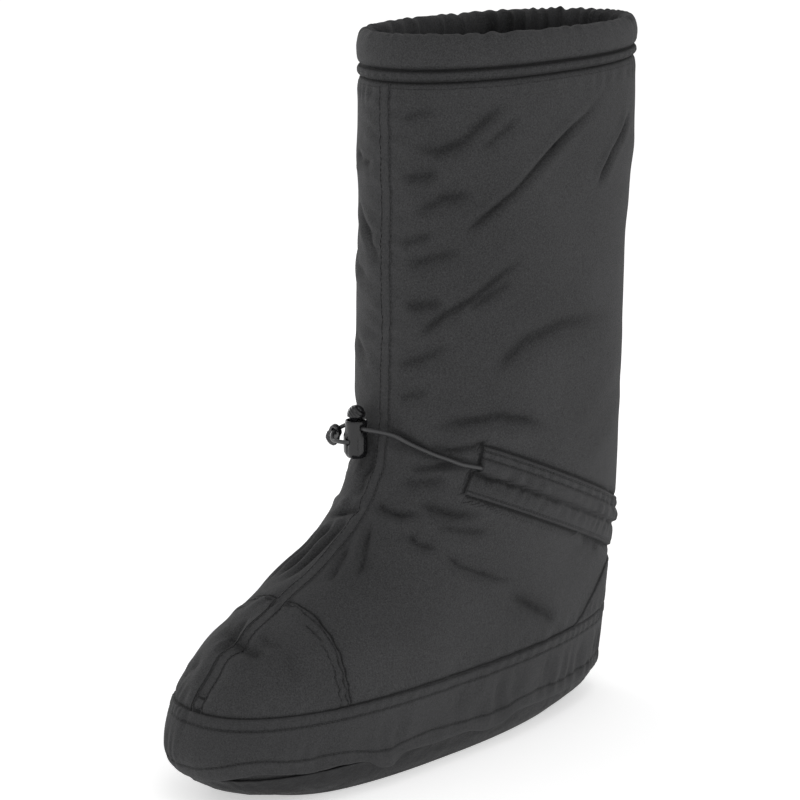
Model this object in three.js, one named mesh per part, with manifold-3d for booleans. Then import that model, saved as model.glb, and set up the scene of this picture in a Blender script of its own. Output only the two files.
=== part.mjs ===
// Insulated winter overshoe: a tall padded fabric boot that pulls on over a shoe.
// Millimetres. +Z is up, the toe points along -Y, the shoe's own left side is +X.
// The origin is on the floor, on the centre line, at the middle of the sole's flat.

import * as THREE from 'three';
import { mergeVertices } from 'three/addons/utils/BufferGeometryUtils.js';
import Module from 'manifold-3d';

const wasm = await Module();
wasm.setup();

// Driving sizes of the body

const FOOT_LENGTH = 350; // toe tip to the back of the heel, outside the upper
const BALL_WIDTH = 116; // across the ball of the foot, outside the upper
const INSTEP_HEIGHT = 180; // floor to the bend where the vamp turns into the shaft
const BOOT_HEIGHT = 436; // floor to the rim
const SHAFT_DEPTH = 187; // the shaft, front to back
const SHAFT_WIDTH = 135; // the shaft, side to side
const UPPER_WALL = 4; // shell, wadding and lining quilted into one wall
const CLEARANCE = 0.3; // between pieces that meet

// Sole, insole and rand

const SOLE_THICKNESS = 6;
const SOLE_WALL = 1.5; // the sole's fabric where it turns up round the foot
const SOLE_LIP = 20; // floor to the top of that turned-up edge
const TOE_SPRING = 2.5; // rise of the sole's bottom at its toe end
const SPRING_START = 0.27; // share of the foot length before the origin where the rise starts
const INSOLE_THICKNESS = 5;
const RAND_TOP = 56;
const RAND_HEM = 15; // floor to the hem that hangs over the sole
const PLY = 1.2; // one overlaid ply of coated fabric
const HEM_PLY = 1.6; // the folded hem, thicker than the ply

// Seams and overlays

const SEAM_WIDTH = 9.4; // the double-stitched seam down the front
const SEAM_PLY = 1.3;
const TOE_SEAM = 100; // from the origin forward to the cross seam over the toes
const COUNTER_HEIGHT = 86; // floor to the top of the heel counter
const COUNTER_FRONT = 0.4369; // its top corner behind the origin, a share of the foot length
const COUNTER_LENGTH = 45.5; // along the foot, from the counter's top corner to its lowest one
const COUNTER_DROP = 2; // how much lower the counter's front corner lies than its back
const COLLAR_HEIGHT = 30; // the drawcord casing round the rim, with its rib
const COLLAR_PADDING = 4.5; // the unit of the casing's thickness
const COLLAR_CLIMB = 9.5; // how much higher the collar's foot lies at the back than in front
const RIM_DROP = 3; // how much lower the rim lies in front than at the back
const CLIMB_START = 340; // the shaft's rows tilt with the collar's foot from this height up

// Ankle band: it lies between slanting planes, z = level - BAND_SLOPE * y

const BAND_SLOPE = 0.42;
const BAND_LEVEL = INSTEP_HEIGHT - 16.5; // the level of the lower edge
const BAND_WIDTH = 33; // measured straight up
const BAND_PLY = 1.3;
const CHANNEL_CENTRE = 20.7; // from the lower edge up to the cord's channel
const CHANNEL_WIDTH = 9;
const CHANNEL_RISE = 4.7; // top of the channel above the upper
const BAND_START = 51; // degrees round from the toe to the mouth of the channel
const BAND_STEP = 3; // degrees that the flap under the channel reaches further

// Cord and cord lock

const CORD_DIAMETER = 2.6;
const CORD_SIDES = 8;
const BARREL_RADIUS = 6.8;
const BARREL_HEIGHT = 23.4;
const BARREL_FLOOR = 3;
const BORE_RADIUS = 4.3;
const CUP_DEPTH = 2.2; // the cup in the barrel's top that the pressed cap sinks into
const FIN_REACH = 1.4;
const FIN_THICKNESS = 2;
const CAP_RADIUS = 5.5;
const CAP_HEIGHT = 7;
const CAP_RIBS = 4;
const PRESS_TRAVEL = 4; // how far the button goes down
const STEM_LENGTH = 14; // the part of the button inside the barrel
const HOLE_HEIGHT = 19.3; // barrel's foot to its cross hole
const RETURN_HEIGHT = 10.5; // barrel's foot to the hole that takes the loop's end
const LOCK_TURN = 350; // degrees round from the toe
const LOCK_FOOT = 0.9906 * INSTEP_HEIGHT; // floor to the barrel's foot
const LOCK_STAND = 9.6; // the barrel's axis before the upper
const TAB_LENGTH = 18;
const TAB_WIDTH = 9;
const TAB_THICKNESS = 3;
const TAB_EYE = 5.2; // from the tab's middle to its eye
const TAB_HANG = new THREE.Vector3(0.65, -0.26, 0.71); // from the tab's free end to its eye

// Mesh fineness

const TURN_STEPS = 48;

const DEGREE = Math.PI / 180;

// Sections of the foot. height is a share of the instep height; front and back are shares
// of the foot length, half is a share of the ball width; power squares the oval off, and
// egg widens it towards the toe.
const FOOT_SECTIONS = [
  { height: 0.0, front: -0.394, back: 0.389, half: 0.397, power: 2.4, egg: 0.16 },
  { height: 0.067, front: -0.466, back: 0.463, half: 0.453, power: 2.4, egg: 0.16 },
  { height: 0.178, front: -0.506, back: 0.483, half: 0.5, power: 2.4, egg: 0.16 },
  { height: 0.311, front: -0.483, back: 0.494, half: 0.513, power: 2.4, egg: 0.16 },
  { height: 0.444, front: -0.426, back: 0.503, half: 0.496, power: 2.4, egg: 0.14 },
  { height: 0.583, front: -0.303, back: 0.511, half: 0.474, power: 2.35, egg: 0.1 },
  { height: 0.722, front: -0.169, back: 0.509, half: 0.491, power: 2.3, egg: 0.05 },
  { height: 0.861, front: -0.091, back: 0.5, half: 0.526, power: 2.25, egg: 0.02 },
];

// Sections of the shaft. height is a share of what stands above the instep height; front
// and back are shares of the shaft's depth, half is a share of its width.
const SHAFT_SECTIONS = [
  { height: 0.0, front: -0.1, back: 0.92, half: 0.481, power: 2.2 },
  { height: 0.096, front: -0.0856, back: 0.909, half: 0.504, power: 2.2 },
  { height: 0.231, front: -0.083, back: 0.906, half: 0.511, power: 2.2 },
  { height: 0.423, front: -0.08, back: 0.92, half: 0.496, power: 2.2 },
  { height: 0.615, front: -0.08, back: 0.952, half: 0.489, power: 2.2 },
  { height: 0.827, front: -0.0856, back: 0.976, half: 0.478, power: 2.2 },
  { height: 1.0, front: -0.08, back: 0.968, half: 0.463, power: 2.2 },
];

const SECTIONS = [
  ...FOOT_SECTIONS.map((row) => ({
    height: row.height * INSTEP_HEIGHT,
    front: row.front * FOOT_LENGTH,
    back: row.back * FOOT_LENGTH,
    half: row.half * BALL_WIDTH,
    power: row.power,
    egg: row.egg,
  })),
  ...SHAFT_SECTIONS.map((row) => ({
    height: INSTEP_HEIGHT + row.height * (BOOT_HEIGHT - INSTEP_HEIGHT),
    front: row.front * SHAFT_DEPTH,
    back: row.back * SHAFT_DEPTH,
    half: row.half * SHAFT_WIDTH,
    power: row.power,
    egg: 0,
  })),
];

// A curve through the rows of one column that never swings past them: cubic pieces whose
// slope at a row is the harmonic mean of its neighbours, and 0 at a peak.
function smoothColumn(name) {
  const x = SECTIONS.map((row) => row.height);
  const y = SECTIONS.map((row) => row[name]);
  const rise = y.slice(1).map((value, i) => (value - y[i]) / (x[i + 1] - x[i]));
  const slope = y.map((_, i) => {
    if (i === 0) return rise[0];
    if (i === y.length - 1) return rise[i - 1];
    const before = rise[i - 1];
    const after = rise[i];
    return before * after <= 0 ? 0 : (2 * before * after) / (before + after);
  });
  return (height) => {
    const h = Math.min(Math.max(height, x[0]), x[x.length - 1]);
    let i = 0;
    while (i < x.length - 2 && h > x[i + 1]) i += 1;
    const span = x[i + 1] - x[i];
    const s = (h - x[i]) / span;
    const s2 = s * s;
    const s3 = s2 * s;
    return (
      (2 * s3 - 3 * s2 + 1) * y[i] +
      (s3 - 2 * s2 + s) * span * slope[i] +
      (3 * s2 - 2 * s3) * y[i + 1] +
      (s3 - s2) * span * slope[i + 1]
    );
  };
}

const column = Object.fromEntries(
  ['front', 'back', 'half', 'power', 'egg'].map((name) => [name, smoothColumn(name)]),
);

const signedPower = (value, power) => Math.sign(value) * Math.abs(value) ** power;
const mix = (a, b, s) => a + (b - a) * s;
const ramp = (value, low, high) => THREE.MathUtils.smoothstep(value, low, high);

// The outside of the upper. turn is an angle round the boot from the toe, towards the
// shoe's left side; each level is a squared-off oval.
function skin(turn, z) {
  const front = column.front(z);
  const back = column.back(z);
  const exponent = 2 / column.power(z);
  const across = signedPower(Math.sin(turn), exponent);
  const along = signedPower(Math.cos(turn), exponent);
  const widening = 1 + column.egg(z) * Math.cos(turn);
  return new THREE.Vector3(
    column.half(z) * across * widening,
    (front + back) / 2 - ((back - front) / 2) * along,
    z,
  );
}

// The way out of the upper's surface: level round the sole's edge, square to the fabric
// above it.
const LEVEL_BELOW = 20;
const SQUARE_ABOVE = 50;

function outward(turn, z) {
  const step = 1e-3;
  const round = skin(turn + step, z).sub(skin(turn - step, z));
  const up = skin(turn, z + 0.5).sub(skin(turn, z - 0.5));
  const normal = round.cross(up).normalize();
  normal.z *= ramp(z, LEVEL_BELOW, SQUARE_ABOVE);
  return normal.normalize();
}

const at = (turn, z, stand) => skin(turn, z).addScaledVector(outward(turn, z), stand);

// Where the slanting plane z = level - BAND_SLOPE * y meets the upper at this turn.
function slantHeight(turn, level) {
  const rounds = 12;
  let z = level;
  for (let i = 0; i < rounds; i += 1) {
    z = level - BAND_SLOPE * skin(turn, z).y;
  }
  return z;
}

const TURNS = Array.from({ length: TURN_STEPS }, (_, i) => (i / TURN_STEPS) * 2 * Math.PI);

const WALL_FOOT = SOLE_THICKNESS + CLEARANCE;
const WALL_TOP = BOOT_HEIGHT - COLLAR_HEIGHT;

// Heights of the upper's rows: close together round the foot, wide apart up the shaft
const spread = (low, high, shares) => shares.map((share) => mix(low, high, share));
const FOOT_ROWS = spread(RAND_TOP, INSTEP_HEIGHT, [0, 0.1, 0.19, 0.29, 0.39, 0.5, 0.6, 0.7, 0.8, 0.9, 1]);
const SHAFT_ROWS = spread(INSTEP_HEIGHT, WALL_TOP, [0.07, 0.15, 0.26, 0.4, 0.57, 0.78, 1]);
const SOLE_ROWS = [WALL_FOOT, ...spread(WALL_FOOT, RAND_TOP, [0.12, 0.3, 0.52, 0.76])];
const OUTER_ROWS = [...SOLE_ROWS, ...FOOT_ROWS, ...SHAFT_ROWS];
const INNER_ROWS = OUTER_ROWS.filter((_, i) => i < 2 || i % 2 === 1 || i === OUTER_ROWS.length - 1);

// The seam under the collar climbs towards the back, and so does the rim.
const backward = (turn) => (1 - Math.cos(turn)) / 2;
const collarFoot = (turn) => WALL_TOP + COLLAR_CLIMB * backward(turn);
const rimHeight = (turn) => BOOT_HEIGHT - RIM_DROP * (1 - backward(turn));
const climbed = (turn, z) => z + COLLAR_CLIMB * backward(turn) * ramp(z, CLIMB_START, WALL_TOP);

// Solids from points

function solid(points, triangles) {
  const geometry = new THREE.BufferGeometry();
  const positions = points.flatMap((p) => [p.x, p.y, p.z]);
  geometry.setAttribute('position', new THREE.Float32BufferAttribute(positions, 3));
  geometry.setIndex(triangles.flat());
  return geometry;
}

// Two triangles on four corners that run anticlockwise as seen from outside.
const quad = (a, b, c, d) => [a, b, c, a, c, d];

// A ring: the same closed outline, of points that run up outside and down inside, at each turn.
function ringSolid(outline) {
  const columns = TURNS.map(outline);
  const count = columns[0].length;
  const triangles = [];
  columns.forEach((_, i) => {
    const next = (i + 1) % columns.length;
    for (let k = 0; k < count; k += 1) {
      const above = (k + 1) % count;
      triangles.push(
        quad(i * count + k, next * count + k, next * count + above, i * count + above),
      );
    }
  });
  return solid(columns.flat(), triangles);
}

// A closed body of level loops, from the lowest up, with a fan over each end.
function stackSolid(loops, lowCentre, highCentre) {
  const count = loops[0].length;
  const points = [...loops.flat(), lowCentre, highCentre];
  const low = points.length - 2;
  const high = points.length - 1;
  const lastLoop = (loops.length - 1) * count;
  const triangles = [];
  for (let i = 0; i < count; i += 1) {
    const next = (i + 1) % count;
    for (let row = 0; row < loops.length - 1; row += 1) {
      const here = row * count;
      const above = here + count;
      triangles.push(quad(here + i, here + next, above + next, above + i));
    }
    triangles.push([low, next, i], [high, lastLoop + i, lastLoop + next]);
  }
  return solid(points, triangles);
}

// A closed sheet with thickness: a grid of outer points over a grid of inner points.
function slabSolid(outer, inner) {
  const wide = outer[0].length;
  const long = outer.length;
  const half = wide * long;
  const triangles = [];
  for (let i = 0; i < long - 1; i += 1) {
    for (let k = 0; k < wide - 1; k += 1) {
      const a = i * wide + k;
      triangles.push(quad(a, a + wide, a + wide + 1, a + 1));
      triangles.push(quad(half + a, half + a + 1, half + a + wide + 1, half + a + wide));
    }
  }
  for (let i = 0; i < long - 1; i += 1) {
    const low = i * wide;
    const high = low + wide - 1;
    triangles.push(quad(low, half + low, half + low + wide, low + wide));
    triangles.push(quad(high, high + wide, half + high + wide, half + high));
  }
  for (let k = 0; k < wide - 1; k += 1) {
    const end = (long - 1) * wide + k;
    triangles.push(quad(k, k + 1, half + k + 1, half + k));
    triangles.push(quad(end, half + end, half + end + 1, end + 1));
  }
  return solid([...outer.flat(), ...inner.flat()], triangles);
}

function toManifold(geometry) {
  const bare = new THREE.BufferGeometry();
  bare.setAttribute('position', geometry.getAttribute('position'));
  if (geometry.index) bare.setIndex(geometry.index);
  const merged = mergeVertices(bare, 1e-4);
  return new wasm.Manifold(
    new wasm.Mesh({
      numProp: 3,
      vertProperties: new Float32Array(merged.getAttribute('position').array),
      triVerts: new Uint32Array(merged.index.array),
    }),
  );
}

function toGeometry(manifold) {
  const { vertProperties, triVerts } = manifold.getMesh();
  const geometry = new THREE.BufferGeometry();
  geometry.setAttribute('position', new THREE.BufferAttribute(vertProperties, 3));
  geometry.setIndex(new THREE.BufferAttribute(triVerts, 1));
  return geometry;
}

// The upper's outside as one filled body, let out by stand.
function form(stand) {
  const loops = OUTER_ROWS.map((z) => TURNS.map((turn) => at(turn, z, stand)));
  const middle = (loop) => {
    const sum = loop.reduce((total, p) => total.add(p), new THREE.Vector3());
    return sum.divideScalar(loop.length);
  };
  return toManifold(stackSolid(loops, middle(loops[0]), middle(loops[loops.length - 1])));
}

const innerForm = form(CLEARANCE);

// A ply that follows the upper, kept only inside the region.
function overlay(thickness, region) {
  return toGeometry(form(CLEARANCE + thickness).subtract(innerForm).intersect(region));
}

// A block between two corners, with its size and middle worked out from them.
function block(low, high) {
  const geometry = new THREE.BoxGeometry(high[0] - low[0], high[1] - low[1], high[2] - low[2]);
  geometry.translate((low[0] + high[0]) / 2, (low[1] + high[1]) / 2, (low[2] + high[2]) / 2);
  return toManifold(geometry);
}

// Upper: one hollow wall, open at the rim and underneath

function upperGeometry() {
  return ringSolid((turn) => [
    ...OUTER_ROWS.map((z) => at(turn, climbed(turn, z), 0)),
    ...[...INNER_ROWS].reverse().map((z) => at(turn, climbed(turn, z), -UPPER_WALL)),
  ]);
}

// Sole: a flat-bottomed tray whose edge turns up round the foot

function toeLift(y) {
  const start = SPRING_START * FOOT_LENGTH;
  const reach = -FOOT_SECTIONS[0].front * FOOT_LENGTH - start;
  return TOE_SPRING * Math.max(0, (-y - start) / reach) ** 2;
}

function soleGeometry() {
  const inside = CLEARANCE;
  const outside = CLEARANCE + SOLE_WALL;
  const flatShare = 0.8;
  const bottomRows = spread(0, SOLE_LIP, [0, 0.08, 0.22, 0.42, 0.7, 1]);
  const edge = (z) => TURNS.map((turn) => {
    const point = at(turn, z, outside * Math.min(1, z / SOLE_THICKNESS));
    point.z += toeLift(point.y) * Math.max(0, 1 - z / SOLE_THICKNESS);
    return point;
  });
  const within = (z) => TURNS.map((turn) => at(turn, z, inside));
  const flat = TURNS.map((turn) => skin(turn, 0).multiplyScalar(flatShare).setZ(0));
  const floor = TURNS.map((turn) => at(turn, SOLE_THICKNESS, inside).multiplyScalar(flatShare).setZ(SOLE_THICKNESS));
  const loops = [
    flat,
    ...bottomRows.map(edge),
    ...[SOLE_LIP, SOLE_ROWS[1], WALL_FOOT, SOLE_THICKNESS].map(within),
    floor,
  ];
  const centre = new THREE.Vector3(0.07 * BALL_WIDTH, 0.06 * FOOT_LENGTH, 0);
  return stackSolid(loops, centre, centre.clone().setZ(SOLE_THICKNESS));
}

function insoleGeometry() {
  const low = SOLE_THICKNESS + CLEARANCE;
  const tuck = UPPER_WALL + 4 * CLEARANCE;
  const loops = spread(low, low + INSOLE_THICKNESS, [0, 1]).map((z) =>
    TURNS.map((turn) => at(turn, z, -tuck)),
  );
  const centre = (z) => new THREE.Vector3(0, 0, z);
  return stackSolid(loops, centre(low), centre(low + INSOLE_THICKNESS));
}

// Rand: the coated band round the foot, its folded hem hanging over the sole's edge

function randGeometry() {
  const lipSide = CLEARANCE + SOLE_WALL + CLEARANCE;
  const lipTop = SOLE_LIP + CLEARANCE;
  const hemOut = lipSide + HEM_PLY;
  const plain = CLEARANCE + PLY;
  const upperRows = SOLE_ROWS.filter((z) => z > lipTop + 3);
  return ringSolid((turn) => [
    at(turn, RAND_HEM, hemOut - 0.5),
    at(turn, RAND_HEM + 2, hemOut),
    at(turn, lipTop, hemOut - 0.3),
    ...upperRows.map((z) => at(turn, z, plain)),
    at(turn, RAND_TOP, plain).setZ(RAND_TOP),
    at(turn, RAND_TOP, CLEARANCE).setZ(RAND_TOP),
    ...[...upperRows].reverse().map((z) => at(turn, z, CLEARANCE)),
    at(turn, lipTop + 1, CLEARANCE),
    at(turn, lipTop, lipSide),
    at(turn, RAND_HEM, lipSide),
  ]);
}

// Overlays on the upper

const RAND_EDGE = RAND_TOP + CLEARANCE;
const SIDE = BALL_WIDTH;
const FAR = FOOT_LENGTH;

function frontSeamGeometry() {
  const half = SEAM_WIDTH / 2;
  return overlay(
    SEAM_PLY,
    block([-half, -FAR, RAND_EDGE], [half, SHAFT_DEPTH / 4, WALL_TOP - CLEARANCE]),
  );
}

function toePanelGeometry(side) {
  const near = SEAM_WIDTH / 2 + CLEARANCE;
  const edges = side > 0 ? [near, SIDE] : [-SIDE, -near];
  return overlay(
    PLY,
    block([edges[0], -FAR, RAND_EDGE], [edges[1], -TOE_SEAM, INSTEP_HEIGHT]),
  );
}

// The counter's region: a slanting front edge, a level top, closed behind the heel.
function counterGeometry() {
  const topFront = COUNTER_FRONT * FOOT_LENGTH;
  const region = new THREE.Shape([
    new THREE.Vector2(topFront - COUNTER_LENGTH, RAND_EDGE),
    new THREE.Vector2(FAR, RAND_EDGE),
    new THREE.Vector2(FAR, COUNTER_HEIGHT),
    new THREE.Vector2(topFront, COUNTER_HEIGHT - COUNTER_DROP),
  ]);
  const prism = new THREE.ExtrudeGeometry(region, { depth: 2 * SIDE, bevelEnabled: false, steps: 1 });
  // the shape's x lies along the boot and its y is height
  prism.applyMatrix4(new THREE.Matrix4().set(0, 0, 1, -SIDE, 1, 0, 0, 0, 0, 1, 0, 0, 0, 0, 0, 1));
  return overlay(PLY, toManifold(prism));
}

// Ankle band: it runs from one mouth round the back of the heel to the other, with the
// cord's channel standing out along it

const BAND_LINES = [
  { up: 0, stand: 0 },
  { up: CHANNEL_CENTRE - CHANNEL_WIDTH / 2, stand: 0 },
  { up: CHANNEL_CENTRE - CHANNEL_WIDTH / 4, stand: 0.75 },
  { up: CHANNEL_CENTRE, stand: 1 },
  { up: CHANNEL_CENTRE + CHANNEL_WIDTH / 4, stand: 0.75 },
  { up: CHANNEL_CENTRE + CHANNEL_WIDTH / 2, stand: 0 },
  { up: BAND_WIDTH, stand: 0 },
];
const BAND_STEPS = 28;
const BAND_SUNK = 3; // the cutting grid starts this far inside the upper

function bandPoint(share, line, sunk) {
  const start = (BAND_START - (line.up < CHANNEL_CENTRE - CHANNEL_WIDTH / 3 ? BAND_STEP : 0)) * DEGREE;
  const turn = mix(start, 2 * Math.PI - start, share);
  const z = slantHeight(turn, BAND_LEVEL + line.up);
  const plain = CLEARANCE + BAND_PLY;
  return at(turn, z, sunk ? -BAND_SUNK : mix(plain, CHANNEL_RISE, line.stand));
}

function cordHole(points, radius) {
  const half = (points.length - 1) / 2;
  const path = new THREE.CatmullRomCurve3(points);
  return toManifold(sweep(path, radius, Math.max(2, Math.round(half))));
}

function bandGeometry() {
  const shares = Array.from({ length: BAND_STEPS + 1 }, (_, i) => i / BAND_STEPS);
  const grid = (sunk) => shares.map((share) => BAND_LINES.map((line) => bandPoint(share, line, sunk)));
  let band = toManifold(slabSolid(grid(false), grid(true))).subtract(innerForm);
  for (const side of [1, -1]) {
    const hole = CHANNEL_MOUTH.map((row) => cordPoint(side, row));
    band = band.subtract(cordHole(hole, CORD_DIAMETER / 2 + CLEARANCE));
  }
  return toGeometry(band);
}

// Collar: the padded casing of the rim's drawcord, on a thin rib. up is a share of the
// collar's height; stand is a share of its padding.
const COLLAR_PROFILE = [
  { up: 0.01, stand: -0.1 },
  { up: 0.06, stand: 0.1 },
  { up: 0.2, stand: 0.1 },
  { up: 0.27, stand: -0.2 },
  { up: 0.38, stand: 0.12 },
  { up: 0.6, stand: 0.25 },
  { up: 0.82, stand: 0.05 },
  { up: 0.96, stand: -0.45 },
  { up: 1.0, stand: -1.1 },
  { up: 0.93, stand: -1.9 },
  { up: 0.75, stand: -2.3 },
  { up: 0.35, stand: -2.1 },
  { up: 0.01, stand: -0.9 },
];

function collarGeometry() {
  return ringSolid((turn) =>
    COLLAR_PROFILE.map((row) =>
      at(turn, WALL_TOP, row.stand * COLLAR_PADDING).setZ(
        mix(collarFoot(turn), rimHeight(turn), row.up),
      ),
    ),
  );
}

// Cords: round, swept along smooth paths

function sweep(path, radius, steps) {
  const outline = new THREE.Shape();
  for (let i = 0; i < CORD_SIDES; i += 1) {
    const angle = (i / CORD_SIDES) * 2 * Math.PI;
    const x = radius * Math.cos(angle);
    const y = radius * Math.sin(angle);
    if (i === 0) outline.moveTo(x, y);
    else outline.lineTo(x, y);
  }
  outline.closePath();
  return new THREE.ExtrudeGeometry(outline, { steps, extrudePath: path, bevelEnabled: false });
}

// Each strand's places on the upper: degrees round from the toe, height as a share of the
// instep height, and stand off the upper as a share of the cord's diameter.
const CHANNEL_MOUTH = [
  { turn: 66, height: 0.9522, stand: 1.0 },
  { turn: 60, height: 0.9672, stand: 1.0 },
  { turn: 54, height: 0.9794, stand: 1.0 },
  { turn: 48, height: 0.99, stand: 1.0 },
];
const STRAND = [
  { turn: 60, height: 0.9672, stand: 1.0 },
  { turn: 54, height: 0.9794, stand: 1.0 },
  { turn: 48, height: 0.99, stand: 0.962 },
  { turn: 42, height: 1.0, stand: 0.808 },
  { turn: 36, height: 1.0156, stand: 0.731 },
];
const LEFT_FRONT = [
  { turn: 29, height: 1.031, stand: 0.731 },
  { turn: 22, height: 1.0478, stand: 0.731 },
  { turn: 15, height: 1.065, stand: 0.85 },
  { turn: 8, height: 1.0833, stand: 1.3 },
];
const RIGHT_FRONT = [
  { turn: 30, height: 1.033, stand: 0.769 },
  { turn: 24, height: 1.052, stand: 1.0 },
];

function cordPoint(side, row) {
  const turn = side > 0 ? row.turn * DEGREE : 2 * Math.PI - row.turn * DEGREE;
  return at(turn, row.height * INSTEP_HEIGHT, row.stand * CORD_DIAMETER);
}

// The lock's own frame: x runs along the cross hole, y into the boot, z up from its foot.
const lockFrame = (() => {
  const turn = LOCK_TURN * DEGREE;
  const foot = at(turn, LOCK_FOOT + HOLE_HEIGHT, LOCK_STAND).setZ(LOCK_FOOT);
  const inward = outward(turn, LOCK_FOOT + HOLE_HEIGHT).setZ(0).normalize().negate();
  const angle = Math.atan2(inward.y, inward.x) - Math.PI / 2;
  return new THREE.Matrix4().makeRotationZ(angle).setPosition(foot);
})();

const inLock = (x, y, z) => new THREE.Vector3(x, y, z).applyMatrix4(lockFrame);

const LOOP_RADIUS = 5.2;
const LOOP_STAND = 2.4; // how far out of the barrel the loop begins to turn
const THROUGH = BARREL_RADIUS + CLEARANCE;
const CORD_MEETING = 2; // inside the barrel, where the strand is drawn on as the loop
const LOW_ENTRY = { y: 2.8, z: HOLE_HEIGHT - 3.2 }; // where the right strand enters the barrel

function leftCordGeometry() {
  const points = [
    ...[...STRAND, ...LEFT_FRONT].map((row) => cordPoint(1, row)),
    inLock(BARREL_RADIUS + 4, 0, HOLE_HEIGHT + 0.1),
    inLock(BARREL_RADIUS, 0, HOLE_HEIGHT),
    inLock(CORD_MEETING + CLEARANCE, 0, HOLE_HEIGHT),
  ];
  return sweep(new THREE.CatmullRomCurve3(points, false, 'centripetal'), CORD_DIAMETER / 2, 22);
}

function rightCordGeometry() {
  const points = [
    ...[...STRAND, ...RIGHT_FRONT].map((row) => cordPoint(-1, row)),
    inLock(-BARREL_RADIUS - 2.6, LOW_ENTRY.y + 0.4, LOW_ENTRY.z - 0.2),
    inLock(-BARREL_RADIUS + 0.4, LOW_ENTRY.y, LOW_ENTRY.z),
    inLock(-BARREL_RADIUS + 2.6, LOW_ENTRY.y, LOW_ENTRY.z),
  ];
  return sweep(new THREE.CatmullRomCurve3(points, false, 'centripetal'), CORD_DIAMETER / 2, 15);
}

// The loop of cord's end: out of the barrel, through the tab's eye, back into the barrel.
function loopPoint(angle) {
  const share = angle / 180;
  return inLock(
    -THROUGH - LOOP_STAND - LOOP_RADIUS * Math.sin(angle * DEGREE),
    -LOOP_RADIUS * (1 - Math.cos(angle * DEGREE)),
    mix(HOLE_HEIGHT, RETURN_HEIGHT, share),
  );
}

const LOOP_POINTS = [
  inLock(CORD_MEETING, 0, HOLE_HEIGHT),
  inLock(-BARREL_RADIUS / 2, 0, HOLE_HEIGHT),
  ...[0, 30, 60, 90, 120, 150, 180].map(loopPoint),
  inLock(-5.6, -10.2, RETURN_HEIGHT),
  inLock(-2.2, -9.2, RETURN_HEIGHT),
  inLock(0.6, -7.4, RETURN_HEIGHT),
  inLock(1.7, -5.9, RETURN_HEIGHT),
];
const loopPath = new THREE.CatmullRomCurve3(LOOP_POINTS, false, 'centripetal');

function loopCordGeometry() {
  return sweep(loopPath, CORD_DIAMETER / 2, 16);
}

// Cord lock: a barrel with side fins, and a button whose slotted stem grips the cord

function turned(profile, segments) {
  const points = profile.map(([radius, height]) => new THREE.Vector2(radius, height));
  return toManifold(new THREE.LatheGeometry(points, segments).rotateX(Math.PI / 2));
}

// A round rod between two points of the lock's frame.
function rod(from, to, radius) {
  const path = new THREE.LineCurve3(new THREE.Vector3(...from), new THREE.Vector3(...to));
  return toManifold(sweep(path, radius, 1));
}

function barrelGeometry() {
  const segments = 20;
  const body = turned(
    [
      [0, 0],
      [BARREL_RADIUS * 0.62, 0],
      [BARREL_RADIUS * 0.88, 1],
      [BARREL_RADIUS, 3],
      [BARREL_RADIUS, BARREL_HEIGHT - 0.8],
      [BARREL_RADIUS - 0.4, BARREL_HEIGHT],
      [0, BARREL_HEIGHT],
    ],
    segments,
  );
  const bore = turned(
    [
      [0, BARREL_FLOOR],
      [BORE_RADIUS, BARREL_FLOOR],
      [BORE_RADIUS, BARREL_HEIGHT - CUP_DEPTH],
      [CAP_RADIUS + CLEARANCE, BARREL_HEIGHT - CUP_DEPTH],
      [CAP_RADIUS + CLEARANCE, BARREL_HEIGHT + 1],
      [0, BARREL_HEIGHT + 1],
    ],
    segments,
  );
  const reach = BARREL_RADIUS + FIN_REACH;
  const fins = block(
    [-reach, -FIN_THICKNESS / 2, BARREL_FLOOR],
    [reach, FIN_THICKNESS / 2, HOLE_HEIGHT - CORD_DIAMETER],
  );
  const hole = CORD_DIAMETER / 2 + CLEARANCE;
  const out = BARREL_RADIUS + 4;
  const cross = rod([-out, 0, HOLE_HEIGHT], [out, 0, HOLE_HEIGHT], hole);
  const entry = rod([-out, LOW_ENTRY.y, LOW_ENTRY.z], [-2, LOW_ENTRY.y, LOW_ENTRY.z], hole);
  const back = rod([-0.9, -9.5, RETURN_HEIGHT], [2.3, -3, RETURN_HEIGHT], hole + CLEARANCE);
  return toGeometry(body.add(fins).subtract(bore).subtract(cross).subtract(entry).subtract(back));
}

function buttonGeometry() {
  const stem = BORE_RADIUS - CLEARANCE;
  const neckTop = BARREL_HEIGHT - CUP_DEPTH + PRESS_TRAVEL + CLEARANCE;
  const ribs = Array.from({ length: CAP_RIBS * 2 + 1 }, (_, i) => {
    const share = i / (CAP_RIBS * 2);
    const dome = Math.sqrt(1 - (share * 0.92) ** 2);
    const groove = i % 2 === 1 ? 0.35 : 0;
    return [CAP_RADIUS * dome - groove, neckTop + 0.8 + (CAP_HEIGHT - 0.8) * share];
  });
  const body = turned(
    [
      [0, BARREL_HEIGHT - STEM_LENGTH],
      [stem, BARREL_HEIGHT - STEM_LENGTH],
      [stem, neckTop],
      [CAP_RADIUS - 0.5, neckTop],
      ...ribs,
      [0, neckTop + CAP_HEIGHT + 0.2],
    ],
    20,
  );
  const half = CORD_DIAMETER / 2 + CLEARANCE;
  const slot = block(
    [-BORE_RADIUS, -half, HOLE_HEIGHT - half],
    [BORE_RADIUS, half, HOLE_HEIGHT + half + PRESS_TRAVEL],
  );
  return toGeometry(body.subtract(slot));
}

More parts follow.
